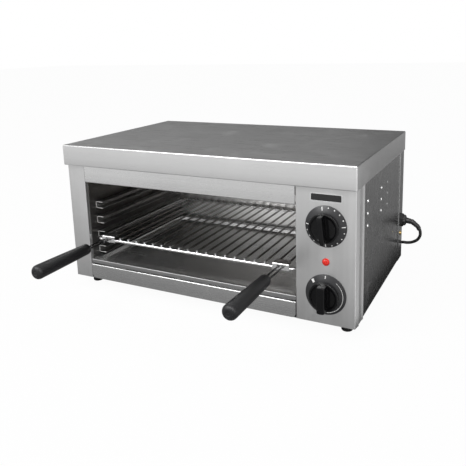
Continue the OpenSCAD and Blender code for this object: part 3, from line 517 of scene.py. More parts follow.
def make_lens_red():
    """Red pilot lens: clear red plastic over a lit inside, darker towards its rim."""
    material, tree, shader, place = finish_start("lens_red", Coat_Weight=0.35, Coat_Roughness=0.05,
                                                 Roughness=0.25, IOR=1.3, Emission_Strength=0.14)
    rib = noise(tree, place, 420.0, Detail=1.0)
    facing = add(tree, "ShaderNodeLayerWeight", {"Blend": 0.35}).outputs["Facing"]
    deep = mix_colour(tree, facing, (0.86, 0.030, 0.012, 1.0), (0.22, 0.004, 0.002, 1.0))
    colour = mix_colour(tree, span_node(tree, rib, 0.4, 0.62), deep, (0.42, 0.008, 0.005, 1.0))
    feed(tree, shader, {"Base Color": colour, "Emission Color": colour, "Normal": bump(tree, rib, 0.00008)})
    return material


def make_element_sheath():
    """Heating element sheath: dull oxidised alloy, brown to grey, with a dry surface."""
    material, tree, shader, place = finish_start("element_sheath", Metallic=0.7)
    scale = use(tree, HANDLING, place, Size=24.0)
    colour = mix_colour(tree, scale["Cloud"], (0.075, 0.060, 0.050, 1.0), (0.17, 0.145, 0.125, 1.0))
    colour = mix_colour(tree, scale["Smudge"], colour, (0.22, 0.19, 0.17, 1.0))
    grain = use(tree, MOULDING, place, Grain=1400.0)
    feed(tree, shader, {"Base Color": colour, "Normal": bump(tree, grain["Height"], 0.00004),
                        "Roughness": span_node(tree, scale["Cloud"], 0.3, 0.7, 0.48, 0.66)})
    return material


def make_brass():
    """Brass of the plug's blades and the earth screw: rolled, a little tarnished."""
    material, tree, shader, place = finish_start("brass", Metallic=1.0)
    hands = use(tree, HANDLING, place, Size=40.0)
    brush = use(tree, BRUSHING, place, Stretch=STRETCH["x"])
    colour = mix_colour(tree, hands["Cloud"], (0.62, 0.44, 0.17, 1.0), (0.80, 0.61, 0.28, 1.0))
    feed(tree, shader, {"Base Color": colour, "Normal": bump(tree, brush["Scratches"], 0.00001),
                        "Roughness": span_node(tree, hands["Smudge"], 0, 1, 0.24, 0.38)})
    return material


LENS_RED, ELEMENT_SHEATH, BRASS = make_lens_red(), make_element_sheath(), make_brass()

# -------------------- cord and plug

CORD_D = 6.5 * MM
CORD_EXIT = (0.316, 0.262, 0.110)
# The run from the gland, in a loop and down behind the cabinet to the coil
CORD_RUN = np.array([
    [316, 262, 110], [328, 262.5, 107.5], [340, 264.5, 97.5], [344.5, 267.5, 83.5], [341, 271.5, 69.5],
    [330, 276.5, 58.5], [316, 280.5, 53], [303.5, 286, 50.5], [289, 289.5, 45], [277, 291, 37.5],
    [265.5, 293, 29], [253.5, 295, 20.5], [241, 297, 13.5], [228, 299, 8.5], [214.5, 300, 5.2],
    [200, 300, 3.9], [186, 300, 3.5], [172, 301, 3.5], [158, 301, 3.5]]) * MM
# The end of it, from the coil to the plug
CORD_TAIL = np.array([[132, 301, 9.7], [119, 301, 9.5], [107, 301, 10.5], [95, 301, 12], [84, 301, 12]]) * MM
COIL_MIDDLE = np.array([0.150, 0.350])
COIL_TURNS = 6
PLUG_Y, PLUG_Z = 0.301, 0.012


def coil_points():
    """The coil: turns go in along the table and out again on top of themselves. With u the turns made, the radius is
    the soft maximum of two straight lines in u that meet where it turns back, and the height steps up by a cord
    there."""
    least, turn_back, soft = 27.9, 3.1, 0.66
    u = np.arange(0, COIL_TURNS * 20 + 1) / 20
    inward, out = least + 7.0 * (turn_back - u), least + 7.05 * (u - turn_back)
    radius = (np.logaddexp(inward / soft, out / soft) * soft) * MM
    step = np.clip((u - 2.7) / 0.8, 0, 1)
    height = (3.45 + 6.7 * step * step * (3 - 2 * step)) * MM
    a = -math.pi / 2 - TURN * u
    return np.column_stack([COIL_MIDDLE[0] + radius * np.cos(a), COIL_MIDDLE[1] + radius * np.sin(a), height])


def make_cord():
    """The cord as one smooth open curve through its run, its coil and its end."""
    points = np.vstack([CORD_RUN, coil_points(), CORD_TAIL])
    curve = bpy.data.curves.new("supply_cord_run", "CURVE")
    curve.dimensions = "3D"
    curve.bevel_depth = CORD_D / 2
    curve.bevel_resolution = 4
    curve.use_fill_caps = True
    curve.resolution_u = 6
    spline = curve.splines.new("BEZIER")
    spline.bezier_points.add(len(points) - 1)
    spline.bezier_points.foreach_set("co", points.ravel())
    for point in spline.bezier_points:
        point.handle_left_type = point.handle_right_type = "AUTO"
    curve.materials.append(CORD_RUBBER)
    cord = linked("supply_cord_run", curve)
    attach(cord, "cabinet")
    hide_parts("supply_cord", "cord_coil", "cord_tail")
    return cord


def make_gland():
    """The gland outside the cabinet: a chamfered six-sided nut, a ribbed cap, and its thread and lock nut inside."""
    centre = (0.303, *CORD_EXIT[1:])

    def six_sided(flats):
        """Radii cut back to a hexagon: flats / cos of the angle from the middle of its side."""
        return lambda r, h, a: np.minimum(r, flats / np.cos((a + math.pi / 6) % (math.pi / 3) - math.pi / 6))

    def ribbed(r, h, a):
        """Twelve ribs round the cap, which fade out where its radius falls."""
        return r * (1 + 0.035 * np.clip((r - 8) / 3, 0, 1) * np.cos(12 * a))

    nut = [(8.5, 0), (14.2, 0), (15.1, 0.6), (15.1, 4.8), (14.3, 5.8), (12.2, 6), (8.5, 6)]
    cap = [(7, 5.5), (11.6, 5.5), (11.8, 6.4), (11.7, 8.5), (11.2, 9.8), (10, 11), (8.2, 11.9), (6.8, 12.4),
           (5.5, 12.6)]
    thread = [(6, -13.5)]
    for k in range(17):
        thread += [(7.9, -13.2 + k * 0.75), (7.4, -13.2 + (k + 0.5) * 0.75)]
    thread += [(7.9, 1), (6, 1.2)]
    lock = [(7.5, -5), (12, -5), (12.8, -4.5), (12.8, -1.6), (12, -1.1), (7.5, -1.1)]
    forms = ((nut, 48, six_sided(15 * math.cos(math.pi / 6))), (cap, 96, ribbed), (thread, 32, None),
             (lock, 48, six_sided(11.2)))
    piece("cord_gland_body", [turned(rows, centre, (1, 0, 0), steps, shape) for rows, steps, shape in forms],
          GLAND_PLASTIC, stands_for=["cord_gland"])


def make_sleeve(path):
    """The bend relief: a tapered sleeve round the first 36 mm of the cord, with shallow ribs along it."""
    steps = np.linalg.norm(np.diff(path, axis=0), axis=1)
    along = np.concatenate([[0], np.cumsum(steps)])
    s = np.linspace(-0.0030, 0.0360, 80)
    line = np.column_stack([np.interp(np.maximum(s, 0), along, path[:, k]) for k in range(3)])
    line[s < 0, 0] += s[s < 0]
    radius = np.interp(s, [-0.003, 0.010, 0.0345, 0.0360], [0.0064, 0.0056, 0.0044, 0.0037])
    radius += 0.00022 * np.clip((s - 0.004) / 0.003, 0, 1) * np.sign(np.sin(TURN * s / 0.0050)) * (s < 0.033)
    return piece("cord_bend_relief", [tube(line, radius, (0, 1, 0), 20, round_ends=False)], GLAND_PLASTIC)


def make_tie():
    """A strap round the coil's section on its near side, with a small buckle on top."""
    a = -0.75 * math.pi
    out = np.array([math.cos(a), math.sin(a), 0])
    side = np.array([-out[1], out[0], 0])
    mid = np.array([*COIL_MIDDLE, 0]) + out * 0.0388
    half_w, half_h, middle_z = 0.0141, 0.0069, 0.0072
    t = np.linspace(0, TURN, 56, endpoint=False)
    c, s = np.cos(t), np.sin(t)
    loop_u = half_w * np.sign(c) * np.abs(c) ** 0.42
    loop_z = np.maximum(half_h * np.sign(s) * np.abs(s) ** 0.55, 0.0006 - middle_z)
    band = []
    for reach, across in ((0, -1), (0.0008, -1), (0.0008, 1), (0, 1)):
        scale_u, scale_z = (half_w + reach) / half_w, (half_h + reach * (s > 0)) / half_h
        band.append(mid + (loop_u * scale_u)[:, None] * out + across * 0.0032 * side
                    + (middle_z + loop_z * scale_z)[:, None] * np.array([0, 0, 1.0]))
    strap = outward(loft(np.array(band).transpose(1, 0, 2), round_again=True))
    low = mid + np.array([0, 0, middle_z + half_h + 0.0002])
    frame_ring = [low + u * out + v * side for u, v in ((-0.005, -0.0045), (0.005, -0.0045), (0.005, 0.0045),
                                                        (-0.005, 0.0045))]
    rings = [np.array(frame_ring) + np.array([0, 0, z]) for z in (0, 0.0014)]
    rings.append((np.array(frame_ring) - low) * 0.8 + low + np.array([0, 0, 0.0019]))
    return piece("coil_tie", [strap, outward(loft(np.array(rings)))], PLUG_RUBBER)


def make_plug():
    """The moulded plug: round-cornered sections along its axis, swelling behind a flat face, with grip ridges and a
    ribbed neck that narrows to the cord."""
    face_x = box("power_plug")[0][0]

    def section(x, half_y, half_z, power):
        """Ring of the superellipse (|y|/half_y)^power + (|z|/half_z)^power = 1 at x."""
        a = np.linspace(0, TURN, 48, endpoint=False)
        y = half_y * np.sign(np.cos(a)) * np.abs(np.cos(a)) ** (2 / power)
        z = half_z * np.sign(np.sin(a)) * np.abs(np.sin(a)) ** (2 / power)
        return np.column_stack([np.full(48, x), PLUG_Y + y, PLUG_Z + z])

    rows = [(0.0, 11.6, 10.6, 3.2), (0.8, 12.6, 11.6, 3.4), (5.5, 12.9, 11.9, 3.4), (6.2, 12.2, 11.2, 3.2)]
    for k in range(5):
        x = 8.0 + k * 3.6
        rows += [(x, 12.3 - 0.30 * k, 11.3 - 0.2 * k, 3.0), (x + 1.2, 12.7 - 0.32 * k, 11.7 - 0.22 * k, 3.0),
                 (x + 2.4, 12.2 - 0.32 * k, 11.2 - 0.22 * k, 3.0)]
    rows += [(27.0, 10.9, 10.2, 2.7), (31.0, 9.4, 9.2, 2.3), (34.0, 7.6, 7.6, 2.0)]
    for k in range(6):
        x = 35.4 + k * 3.0
        rows += [(x, 6.9 - 0.42 * k, 6.9 - 0.42 * k, 2.0), (x + 0.2, 6.2 - 0.40 * k, 6.2 - 0.40 * k, 2.0),
                 (x + 1.3, 6.1 - 0.40 * k, 6.1 - 0.40 * k, 2.0), (x + 1.5, 6.7 - 0.42 * k, 6.7 - 0.42 * k, 2.0)]
    rings = [section(face_x + x * MM, y * MM, z * MM, p) for x, y, z, p in rows]
    return piece("plug_body", [outward(loft(rings))], PLUG_RUBBER, stands_for=["power_plug"])


def make_blades():
    """Two flat blades with chamfered tips and a round earth pin with a domed tip."""
    root = box("power_plug")[0][0] + 0.0004
    tip = root - 0.0179
    shells = []
    for s in (-1, 1):
        y, z0, z1 = PLUG_Y + s * 0.00635, PLUG_Z + 0.001, PLUG_Z + 0.0073
        rings = [[(x, y - t, z0 + i), (x, y + t, z0 + i), (x, y + t, z1 - i), (x, y - t, z1 - i)]
                 for x, t, i in ((root, 0.00075, 0), (tip + 0.0025, 0.00075, 0), (tip + 0.0012, 0.0006, 0.0007),
                                 (tip, 0.0003, 0.0018))]
        shells.append(outward(loft(np.array(rings))))
    shells.append(turned([(2.4, 0), (2.4, 17.5), (2.2, 18.8), (1.6, 19.8), (0.6, 20.2)],
                         (root, PLUG_Y, PLUG_Z - 0.006), (-1, 0, 0), 24))
    return piece("plug_brass", shells, BRASS, stands_for=["plug_blades"])


cord_piece = make_cord()
make_gland()
relief_piece = make_sleeve(CORD_RUN)
tie_piece, plug_piece, blades_piece = make_tie(), make_plug(), make_blades()

# -------------------- cover and front

COVER_LOW, COVER_HIGH = box("top_cover")
PANEL_LOW, PANEL_HIGH = box("control_panel")
FRONT_Y = PANEL_LOW[1]
SIDE_X = PANEL_HIGH[0]
SHEET = 1.0 * MM


def make_cover():
    """The drawn cover: round-cornered rings run from the middle of the deck's underside, down inside the skirt,
    round its lower edge, up outside it and over a rounded edge to the deck's middle. A hem turns in at the front."""
    wall, edge, corner = 1.2 * MM, 2.2 * MM, 3.2 * MM
    z0, z1 = COVER_LOW[2], COVER_HIGH[2]
    rows = [(40 * MM, z1 - wall), (edge + 1.5 * MM, z1 - wall)]
    rows += [(edge - (edge - wall) * math.sin(t), z1 - edge + (edge - wall) * math.cos(t))
             for t in np.radians([0, 30, 60, 90])]
    hem_r = 1.8 * MM
    rows += [(wall, z0 + 1.2 * MM), (wall, z0 + 0.1 * MM)]
    rows += [(hem_r - hem_r * math.cos(t), z0 + hem_r - hem_r * math.sin(t)) for t in np.radians([66, 50, 34, 17, 0])]
    rows += [(edge - edge * math.cos(t), z1 - edge + edge * math.sin(t)) for t in np.radians([0, 18, 36, 54, 72, 90])]
    rows += [(edge + 1.5 * MM, z1), (40 * MM, z1)]
    rings = [rounded_rectangle(COVER_LOW[:2] + d, COVER_HIGH[:2] - d, max(corner - d, 0.4 * MM), z)
             for d, z in rows]
    y = COVER_LOW[1]
    hem = folded([(y + 1.0 * MM, z0 + 6 * MM), (y + 1.0 * MM, z0 + 0.4 * MM), (y + 6.2 * MM, z0 + 0.4 * MM)],
                 0.8 * MM, 0.3 * MM, (COVER_LOW[0] + corner, COVER_HIGH[0] - corner), (1, 2, 0))
    piece("cover_sheet", [outward(loft(rings)), hem], COVER_STEEL, stands_for=["top_cover"])


def fascia_profile(outer, inner, lip_y, rear_y):
    """Plan of a front corner panel, from the rear end of its flange: the end turned out a little, the flange, the
    front's own return with its rear edge out a little, the front face and the lip beside the opening."""
    s = math.copysign(1, outer)
    m = outer - s * SHEET / 2
    return [(m + s * 1.1 * MM, rear_y), (m - s * 0.2 * MM, rear_y - 8 * MM), (m - s * 0.2 * MM, rear_y - 10 * MM),
            (m - s * 0.2 * MM, FRONT_Y + 17 * MM), (m + s * 1.0 * MM, FRONT_Y + 15.6 * MM),
            (m - s * 0.7 * MM, FRONT_Y + 4.5 * MM), (m - s * 0.75 * MM, FRONT_Y + SHEET / 2),
            (inner, FRONT_Y + SHEET / 2), (inner, lip_y)]


def make_fascias():
    """The two front corner panels."""
    rear_y = FRONT_Y + 43 * MM
    panel = fascia_profile(SIDE_X, PANEL_LOW[0] + SHEET / 2, FRONT_Y + 14.5 * MM, rear_y)
    panel += [(box("divider_wall")[0][0], FRONT_Y + 14.5 * MM)]
    low, high = box("left_column")
    column = fascia_profile(low[0], high[0] - SHEET / 2, FRONT_Y + 15 * MM, rear_y)
    for name, node, plan in (("control_fascia", "control_panel", panel), ("column_fascia", "left_column", column)):
        low, high = box(node)
        piece(name, [folded(plan, SHEET, 0.5 * MM, (low[2], high[2]), (0, 1, 2))], FASCIA_STEEL,
              stands_for=[node])


def make_front_rails():
    """The folded rails above and below the opening. The lower rail's bottom corners are quarter circles: its end at
    height z stands back by r - sqrt(r^2 - (r - z)^2)."""
    y, lip = FRONT_Y + SHEET / 2, FRONT_Y + 15 * MM
    low, high = box("front_top_rail")
    seam = 0.45 * MM
    upper = folded([(y, high[2]), (y, low[2] + SHEET / 2), (lip, low[2] + SHEET / 2)], SHEET, 0.9 * MM,
                   (low[0] + seam, high[0] - seam), (1, 2, 0), steps=6)
    piece("upper_rail_face", [upper], UPPER_RAIL_STEEL, stands_for=["front_top_rail"])
    low, high = box("front_bottom_rail")
    radius = 8 * MM

    def stand_back(z):
        """How far the rounded corner stands back from the rail's end at height z."""
        drop = np.clip(low[2] + radius - z, 0, radius)
        return radius - np.sqrt(radius ** 2 - drop ** 2)

    steps = [(y, low[2] + radius * (1 - math.cos(t))) for t in np.radians(np.linspace(0, 90, 9))]
    lower = folded(steps + [(y, high[2] - SHEET / 2), (lip, high[2] - SHEET / 2)], SHEET, 0.9 * MM,
                   (lambda a, b: low[0] + seam + stand_back(b), lambda a, b: high[0] - seam - stand_back(b)),
                   (1, 2, 0), steps=6)
    piece("lower_rail_face", [lower], RAIL_STEEL, stands_for=["front_bottom_rail"])


def make_side_trim():
    """Rolled rims round the vent holes and a rolled edge along the front of the back panel's flanges."""
    first, pitch = 36 * MM, 22 * MM

    def rim(depth, radius, thick):
        """The rims of one column of three holes, in mm: rings whose section is the circle (radius + thick cos b,
        thick sin b), turned about each hole's axis."""
        b = np.linspace(0, TURN, 6, endpoint=False)
        section = np.column_stack([radius + thick * np.cos(b), thick * np.sin(b)])
        return [turned(section, (SIDE_X - SHEET, FRONT_Y + depth * MM, z), (1, 0, 0), 20, round_again=True)
                for z in COVER_LOW[2] - first - pitch * np.arange(3)]

    # The first two columns of rims are given the bright steel as a painted highlight; the rear column keeps the side
    # steel.
    piece("vent_rims", rim(72, 2.15, 0.75) + rim(170, 2.35, 0.45), POLISHED_AND_GLINT_STEEL)
    rims = rim(219, 2.35, 0.35)
    back_low, back_high = box("back_panel")
    y = back_high[1] - 36 * MM
    for x in (0.35 * MM - SIDE_X, SIDE_X - 0.35 * MM):
        rims.append(tube([(x, y, back_low[2] + 0.6 * MM), (x, y, COVER_LOW[2] + 30 * MM)], 0.7 * MM, (0, 1, 0), 10))
    piece("side_trim", rims, SIDE_STEEL)


make_cover()
make_fascias()
make_front_rails()
make_side_trim()
dress(SIDE_STEEL, "left_side_panel", "right_side_panel", "back_panel")
dress(BASE_STEEL, "base_panel")
# The lining's lit copy, then its painted-shade copy.
dress(LINING_STEEL, "divider_wall", "cavity_back_wall", "cavity_floor")
dress(PAINTED_SHADE_LINING, "cavity_left_wall", "cavity_ceiling")
dress(CHANNEL_STEEL, "element_hangers")
dress(BLANKET, "insulation_blanket")
dress(LAMP_PLASTIC, "pilot_body")
dress(CASE_PLASTIC, "timer_case_box", "heat_case_box")
dress(CERAMIC, "terminal_block", "element_bushings")
dress(LEAD_SLEEVE, "wiring")
dress(SCREW_STEEL, "timer_shaft", "heat_shaft", "foot_screws")

# -------------------- cavity, rack and tray


def make_channels():
    """The eight rack rails: folded channels, open towards the cavity's middle."""
    for side, word in ((-1, "left"), (1, "right")):
        for level in range(1, 5):
            node = f"{word}_rail_{level}"
            low, high = box(node)
            wall, rim = (low[0], high[0]) if side < 0 else (high[0], low[0])
            m = wall - side * SHEET / 2
            shape = folded([(rim, low[2] + SHEET / 2), (m, low[2] + SHEET / 2), (m, high[2] - SHEET / 2),
                            (rim, high[2] - SHEET / 2)], SHEET, 0.8 * MM, (low[1], high[1]), (0, 2, 1))
            piece(f"{word}_channel_{level}", [shape], CHANNEL_STEEL, stands_for=[node])


def make_elements():
    """The hairpin elements: each a bar out along X, round a half circle and back, with a thinner stud at each end."""
    low, high = box("heating_elements")
    z, r = (low[2] + high[2]) / 2, (high[2] - low[2]) / 2
    count, half = 3, 22.5 * MM
    depth = box("cavity_back_wall")[0][1] - FRONT_Y
    bend_x, end_x = low[0] + r + half, high[0] - 12 * MM
    t = np.radians(np.linspace(90, 270, 17))
    shells = []
    for k in range(count):
        y = FRONT_Y + depth * (k + 0.5) / count
        bend = np.column_stack([bend_x + half * np.cos(t), y + half * np.sin(t), np.full(17, z)])
        path = np.vstack([[(end_x, y + half, z)], bend, [(end_x, y - half, z)]])
        shells.append(tube(path, r, (0, 0, 1), 16, round_ends=False))
        shells += [tube([(end_x - MM, v, z), (high[0] - 0.5 * MM, v, z)], 2 * MM, (0, 0, 1), round_ends=False)
                   for v in (y - half, y + half)]
    piece("element_hairpins", shells, ELEMENT_SHEATH, stands_for=["heating_elements"])


def make_rack():
    """The rack: a frame wire with round bends, rods across it whose front ends bend up, and their small welds."""
    low, high = box("rack_frame")
    r = (high[2] - low[2]) / 2
    z = (high[2] + low[2]) / 2
    ring = rounded_rectangle(low[:2] + r, high[:2] - r, 12 * MM, z, 8)
    middles = (ring + np.roll(ring, -1, axis=0)) / 2
    far = np.linalg.norm(np.roll(ring, -1, axis=0) - ring, axis=1) > 20 * MM
    line = []
    for point, middle, long in zip(ring, middles, far):
        line += [point, middle] if long else [point]
    piece("rack_frame_wire", [tube(np.array(line), r, (0, 0, 1), 20, round_again=True)], RACK_WIRE, "rack",
          ["rack_frame"])
    rod_low, rod_high = box("rack_rods")
    rod_r = 2.0 * MM
    rod_z = high[2] + rod_r
    front, back = low[1] + r, high[1] - r
    middle_x = (rod_low[0] + rod_high[0]) / 2
    pitch = 20.2 * MM
    count = int(round((rod_high[0] - rod_low[0] - 2 * rod_r) / pitch))
    xs = middle_x + (np.arange(count + 1) - count / 2) * pitch
    rods, welds = [], []
    weld = [(0.5, -1.1), (1.9, -0.9), (2.5, -0.2), (2.2, 0.6), (1.2, 1.2), (0.3, 1.35)]
    for x in xs:
        bend_y, tip_z = front + 0.2 * MM, rod_high[2] - rod_r * 0.9
        path = bent_path([(x, back, rod_z), (x, bend_y, rod_z), (x, bend_y, tip_z)], 2.1 * MM)
        rods.append(tube(path, rod_r, (1, 0, 0)))
        welds += [turned(weld, (x, y, rod_z - rod_r), (0, 0, 1), 10) for y in (front, back)]
    piece("rack_rod_wires", rods, ROD_WIRE, "rack", ["rack_rods"])
    piece("rack_welds", welds, RACK_WIRE, "rack")


def make_handle(word):
    """One handle: the folded clip, wider at its foot, its two wires, and the grip turned about its axis."""
    low, high = box(word + "_clip")
    x, half, t = (low[0] + high[0]) / 2, (high[0] - low[0]) / 2, 1.5 * MM
    y0 = low[1] + t / 2
    tall = high[2] - low[2]
    short, tip, apart = 12 * MM, 5 * MM, 4.5 * MM

    def half_width(y, z):
        """Half the clip's width: it grows by 2 mm down the front, and both leaves have round ends."""
        grown = half + 2 * MM * np.clip((high[2] - z) / tall, 0, 1)
        end = np.where(z > (low[2] + high[2]) / 2, high[1], low[1] + short)
        into = np.clip(tip - (end - y), 0, tip)
        return grown - (tip - np.sqrt(tip ** 2 - into ** 2))

    upper = [(high[1] - d, high[2] - t / 2) for d in np.array([0.0, 0.5, 1.5, 3.0, 5.0]) * MM]
    lower = [(low[1] + short - d, low[2] + t / 2) for d in np.array([5.0, 3.0, 1.5, 0.5, 0.0]) * MM]
    clip = folded(upper + [(y0, high[2] - t / 2), (y0, low[2] + t / 2)] + lower, t, 0.9 * MM,
                  (lambda y, z: x - half_width(y, z), lambda y, z: x + half_width(y, z)), (1, 2, 0), steps=5)
    piece(word + "_clip_plate", [clip], CLIP_STEEL, "rack", [word + "_clip"])

    grip_low, grip_high = box(word + "_grip")
    z = (grip_low[2] + grip_high[2]) / 2
    wires = [tube([(v, grip_high[1] - 20 * MM, z), (v, low[1] + 0.4 * MM, z)], 1.75 * MM, (0, 0, 1), 14)
             for v in (x - apart, x + apart)]
    feet = [turned([(3.0, 0.0), (2.9, 0.5), (2.1, 1.3), (1.7, 2.0)], (v, low[1] + 0.1 * MM, z), (0, -1, 0), 14)
            for v in (x - apart, x + apart)]
    piece(word + "_wires", wires + feet, HANDLE_WIRE, "rack", [word + "_handle_wires"])

    long = grip_high[1] - grip_low[1]
    profile = [(0.5, 0.9), (5.0, 0.9), (7.4, 0.2), (9.0, 0.3), (10.0, 1.0), (10.5, 2.4)]
    profile += [(10.5 + 2.5 * s + 0.15 * math.sin(math.pi * s), 2.4 + 121.1 * s) for s in np.linspace(0.08, 1, 12)]
    profile += arc((13.0 - 8.6, 124.4), 8.6, 11, 82, 7)
    profile += [(4.6, 132.85), (4.0, 132.4), (2.6, 132.1), (1.5, 132.1), (1.2, 132.5), (0.4, 132.6)]
    shape = turned(np.array(profile) * [1, long / (133 * MM)], (x, grip_high[1], z), (0, -1, 0), 56)
    piece(word + "_grip_moulding", [shape], GRIP_PLASTIC, "rack", [word + "_grip"])


def make_tray():
    """The tray: round-cornered rings from the middle of the floor's underside out to the rim and back over it down to
    the floor, and a lip folded down along its front."""
    low, high = box("crumb_tray")
    t = 0.8 * MM
    front, rim = 16 * MM, 10 * MM
    zt, zf = high[2], low[2] + t
    wall_low, wall_high = low[:2] + [rim, front], high[:2] - rim
    lip_at = 1.6 * MM

    def ring(out, z, radius):
        """Ring at a distance outside the basin's wall; the rim stops short of the folded lip at the front."""
        return rounded_rectangle(np.maximum(wall_low - out, low[:2] + [0, lip_at]),
                                 np.minimum(wall_high + out, high[:2]), radius, z)

    bend, foot = 1.4 * MM, 2.4 * MM
    above = [(-(foot + 30 * MM), zf, 4.0)]
    above += [(-foot + foot * math.sin(s), zf + foot - foot * math.cos(s), 7.0 + 3 * math.sin(s))
              for s in np.radians([0, 30, 60, 90])]
    above += [(bend - bend * math.cos(s), zt - bend + bend * math.sin(s), 10.0 + math.sin(s))
              for s in np.radians([0, 30, 60, 90])]
    above += [(16 * MM, zt, 4.0)]
    below = [(16 * MM, zt - t, 4.0), (bend, zt - t, 11.0), (t, zt - t - 0.8 * MM, 10.5),
             (t, zf + foot - 1.5 * MM, 10.0), (-0.6 * MM, zf - t + 0.7 * MM, 8.5), (-foot, zf - t, 7.0),
             (-(foot + 30 * MM), zf - t, 4.0)]
    basin = outward(loft([ring(out, z, r * MM) for out, z, r in above + below]))
    y = low[1] + t / 2
    lip = folded([(low[1] + lip_at + 0.3 * MM, zt - t / 2), (y, zt - t / 2), (y, zt - 8 * MM)], t, 0.7 * MM,
                 (low[0], high[0]), (1, 2, 0), steps=6)
    piece("tray_pan", [basin], TRAY_STEEL, "tray", ["crumb_tray"])
    piece("tray_lip", [lip], TRAY_LIP_STEEL, "tray")


make_channels()
make_elements()
make_rack()
make_handle("left")
make_handle("right")
make_tray()

# -------------------- controls

PANEL_X = middle_of("timer_dial")[0]
OUT_OF_PANEL = (0.0, -1.0, 0.0)
# Radius and height of the sloping ring's inner and outer edge; radii of a knob's hub and disc and the height at which
# the disc's rim begins to round; in mm
RING_INNER, RING_OUTER = (22.8, 6.92), (35.4, 1.5)
HUB_R, DISC_R, RIM_AT = 20.0, 26.0, 13.6


def panel_point(z, across=0.0, up=0.0, out=0.0):
    """A point of the panel: to the right of, above and in front of the control axis at height z."""
    return np.stack(np.broadcast_arrays(PANEL_X + across, FRONT_Y - out, z + up), -1)


def clock(z, degrees, radius, out):
    """A point of a dial, at an angle clockwise from the top."""
    a = np.radians(degrees)
    return panel_point(z, radius * np.sin(a), radius * np.cos(a), out)


def ring_height(radius):
    """Height of the dial's sloping ring at a radius, in metres."""
    return np.interp(radius / MM, *zip(RING_INNER, RING_OUTER)) * MM


def printed(z, first, last, inner, outer, steps=2):
    """A printed patch on the ring between two angles and two radii; inner and outer may change along it."""
    a = np.linspace(first, last, steps)[:, None]
    inner, outer = (np.broadcast_to(np.asarray(v, float).reshape(-1, 1), (steps, 1)) * MM for v in (inner, outer))
    r = inner + (outer - inner) * np.linspace(0, 1, 5)[None]
    a = np.broadcast_to(a, r.shape)
    return outward(slab(clock(z, a, r, ring_height(r) + 0.09 * MM), clock(z, a, r, ring_height(r) - 0.3 * MM)))


def bar_mark(z, degrees, inner, outer, width):
    """A straight printed bar along a radius, of even width."""
    half = math.degrees(width / 2 / ((inner + outer) / 2))
    return printed(z, degrees - half, degrees + half, inner, outer)


def dot_mark(z, degrees, radius, size):
    """A printed dot on the ring, on the slope's own normal."""
    a = math.radians(degrees)
    run, fall = RING_OUTER[0] - RING_INNER[0], RING_INNER[1] - RING_OUTER[1]
    slope = (fall * math.sin(a), -run, fall * math.cos(a))
    centre = clock(z, degrees, radius * MM, ring_height(radius * MM))
    return turned([(size * 0.49, -0.2), (size / 2, 0.06), (size * 0.4, 0.10), (0.1, 0.10)], centre, slope, 16)


def make_dial(word, z):
    """A dial plate: a flat seat behind the knob inside a sloping ring with rounded edges."""
    profile = [(7.0, 0.0), (35.5, 0.0), (36.0, 0.4), (36.0, 0.9), (35.8, 1.3), RING_OUTER, (29.0, 4.23), RING_INNER,
               (22.3, 7.0), (21.9, 6.95), (21.6, 6.7), (21.5, 6.3), (21.5, 1.6), (21.1, 1.2), (7.0, 1.2)]
    piece(word + "_dial_plate", [turned(profile, panel_point(z), OUT_OF_PANEL, 96, round_again=True)], DIAL_PLASTIC,
          stands_for=[word + "_dial"])


def make_knob(word, z, bar, lean):
    """A knob: a turned hub and disc with rounded rims, and a grip bar whose sections, at shares s of its length, are
    shapes with a flared foot and rounded top edges. The bar is turned by the lean, and its ends follow the disc's
    slightly tapered side."""
    low, high = box(word + "_knob")
    foot, rise = (FRONT_Y - high[1]) / MM, (FRONT_Y - low[1]) / MM
    disc = [(3.1, foot), (HUB_R - 0.6, foot), (HUB_R, foot + 0.6), (HUB_R, 9.4), (20.3, 9.9), (20.8, 10.05),
            (25.0, 10.05), (25.8, 10.3), (DISC_R, 10.9), (DISC_R, RIM_AT)]
    disc += arc((DISC_R - 2.4, RIM_AT), 2.4, 10, 90, 6)
    disc += [(22.6, 15.9), (21.9, 15.4), (21.3, 14.6), (20.4, 14.2), (18.5, 14.1), (0.4, 14.1)]
    w = bar / 2
    right = [(w + 1.5, RIM_AT), (w + 0.9, 14.2), (w + 0.35, 15.0), (w + 0.05, 16.2), (w - 0.35, rise - 1.6)]
    right = np.array(right + [(w - 1.85 + 1.5 * math.cos(t), rise - 1.5 + 1.5 * math.sin(t))
                              for t in np.radians([15, 35, 55, 75, 90])])
    across, out = np.vstack([right, [(0.0, rise - 0.12)], right[::-1] * [-1, 1], [(0.0, RIM_AT)]]).T
    shares = np.array([-1, -0.985, -0.95, -0.9, -0.6, -0.2, 0.2, 0.6, 0.9, 0.95, 0.985, 1])
    rings = []
    for s, pull in zip(shares, np.interp(np.abs(shares), [0, 0.9, 0.95, 0.985, 1], [0, 0, 0.18, 0.7, 1.7])):
        u = np.sign(across) * np.maximum(np.abs(across) - pull, 0)
        h = out - pull * np.clip((out - 15) / (rise - 15), 0, 1)
        side = s * np.sqrt((DISC_R - 2 * out / 30) ** 2 - across ** 2)
        rings.append(panel_point(z, (u * math.cos(lean) - side * math.sin(lean)) * MM,
                                 (side * math.cos(lean) + u * math.sin(lean)) * MM, h * MM))
    shells = [turned(disc, panel_point(z), OUT_OF_PANEL, 72), outward(loft(rings))]
    piece(word + "_knob_moulding", shells, KNOB_PLASTIC, word + "_control", [word + "_knob"],
          sharp=50.0)


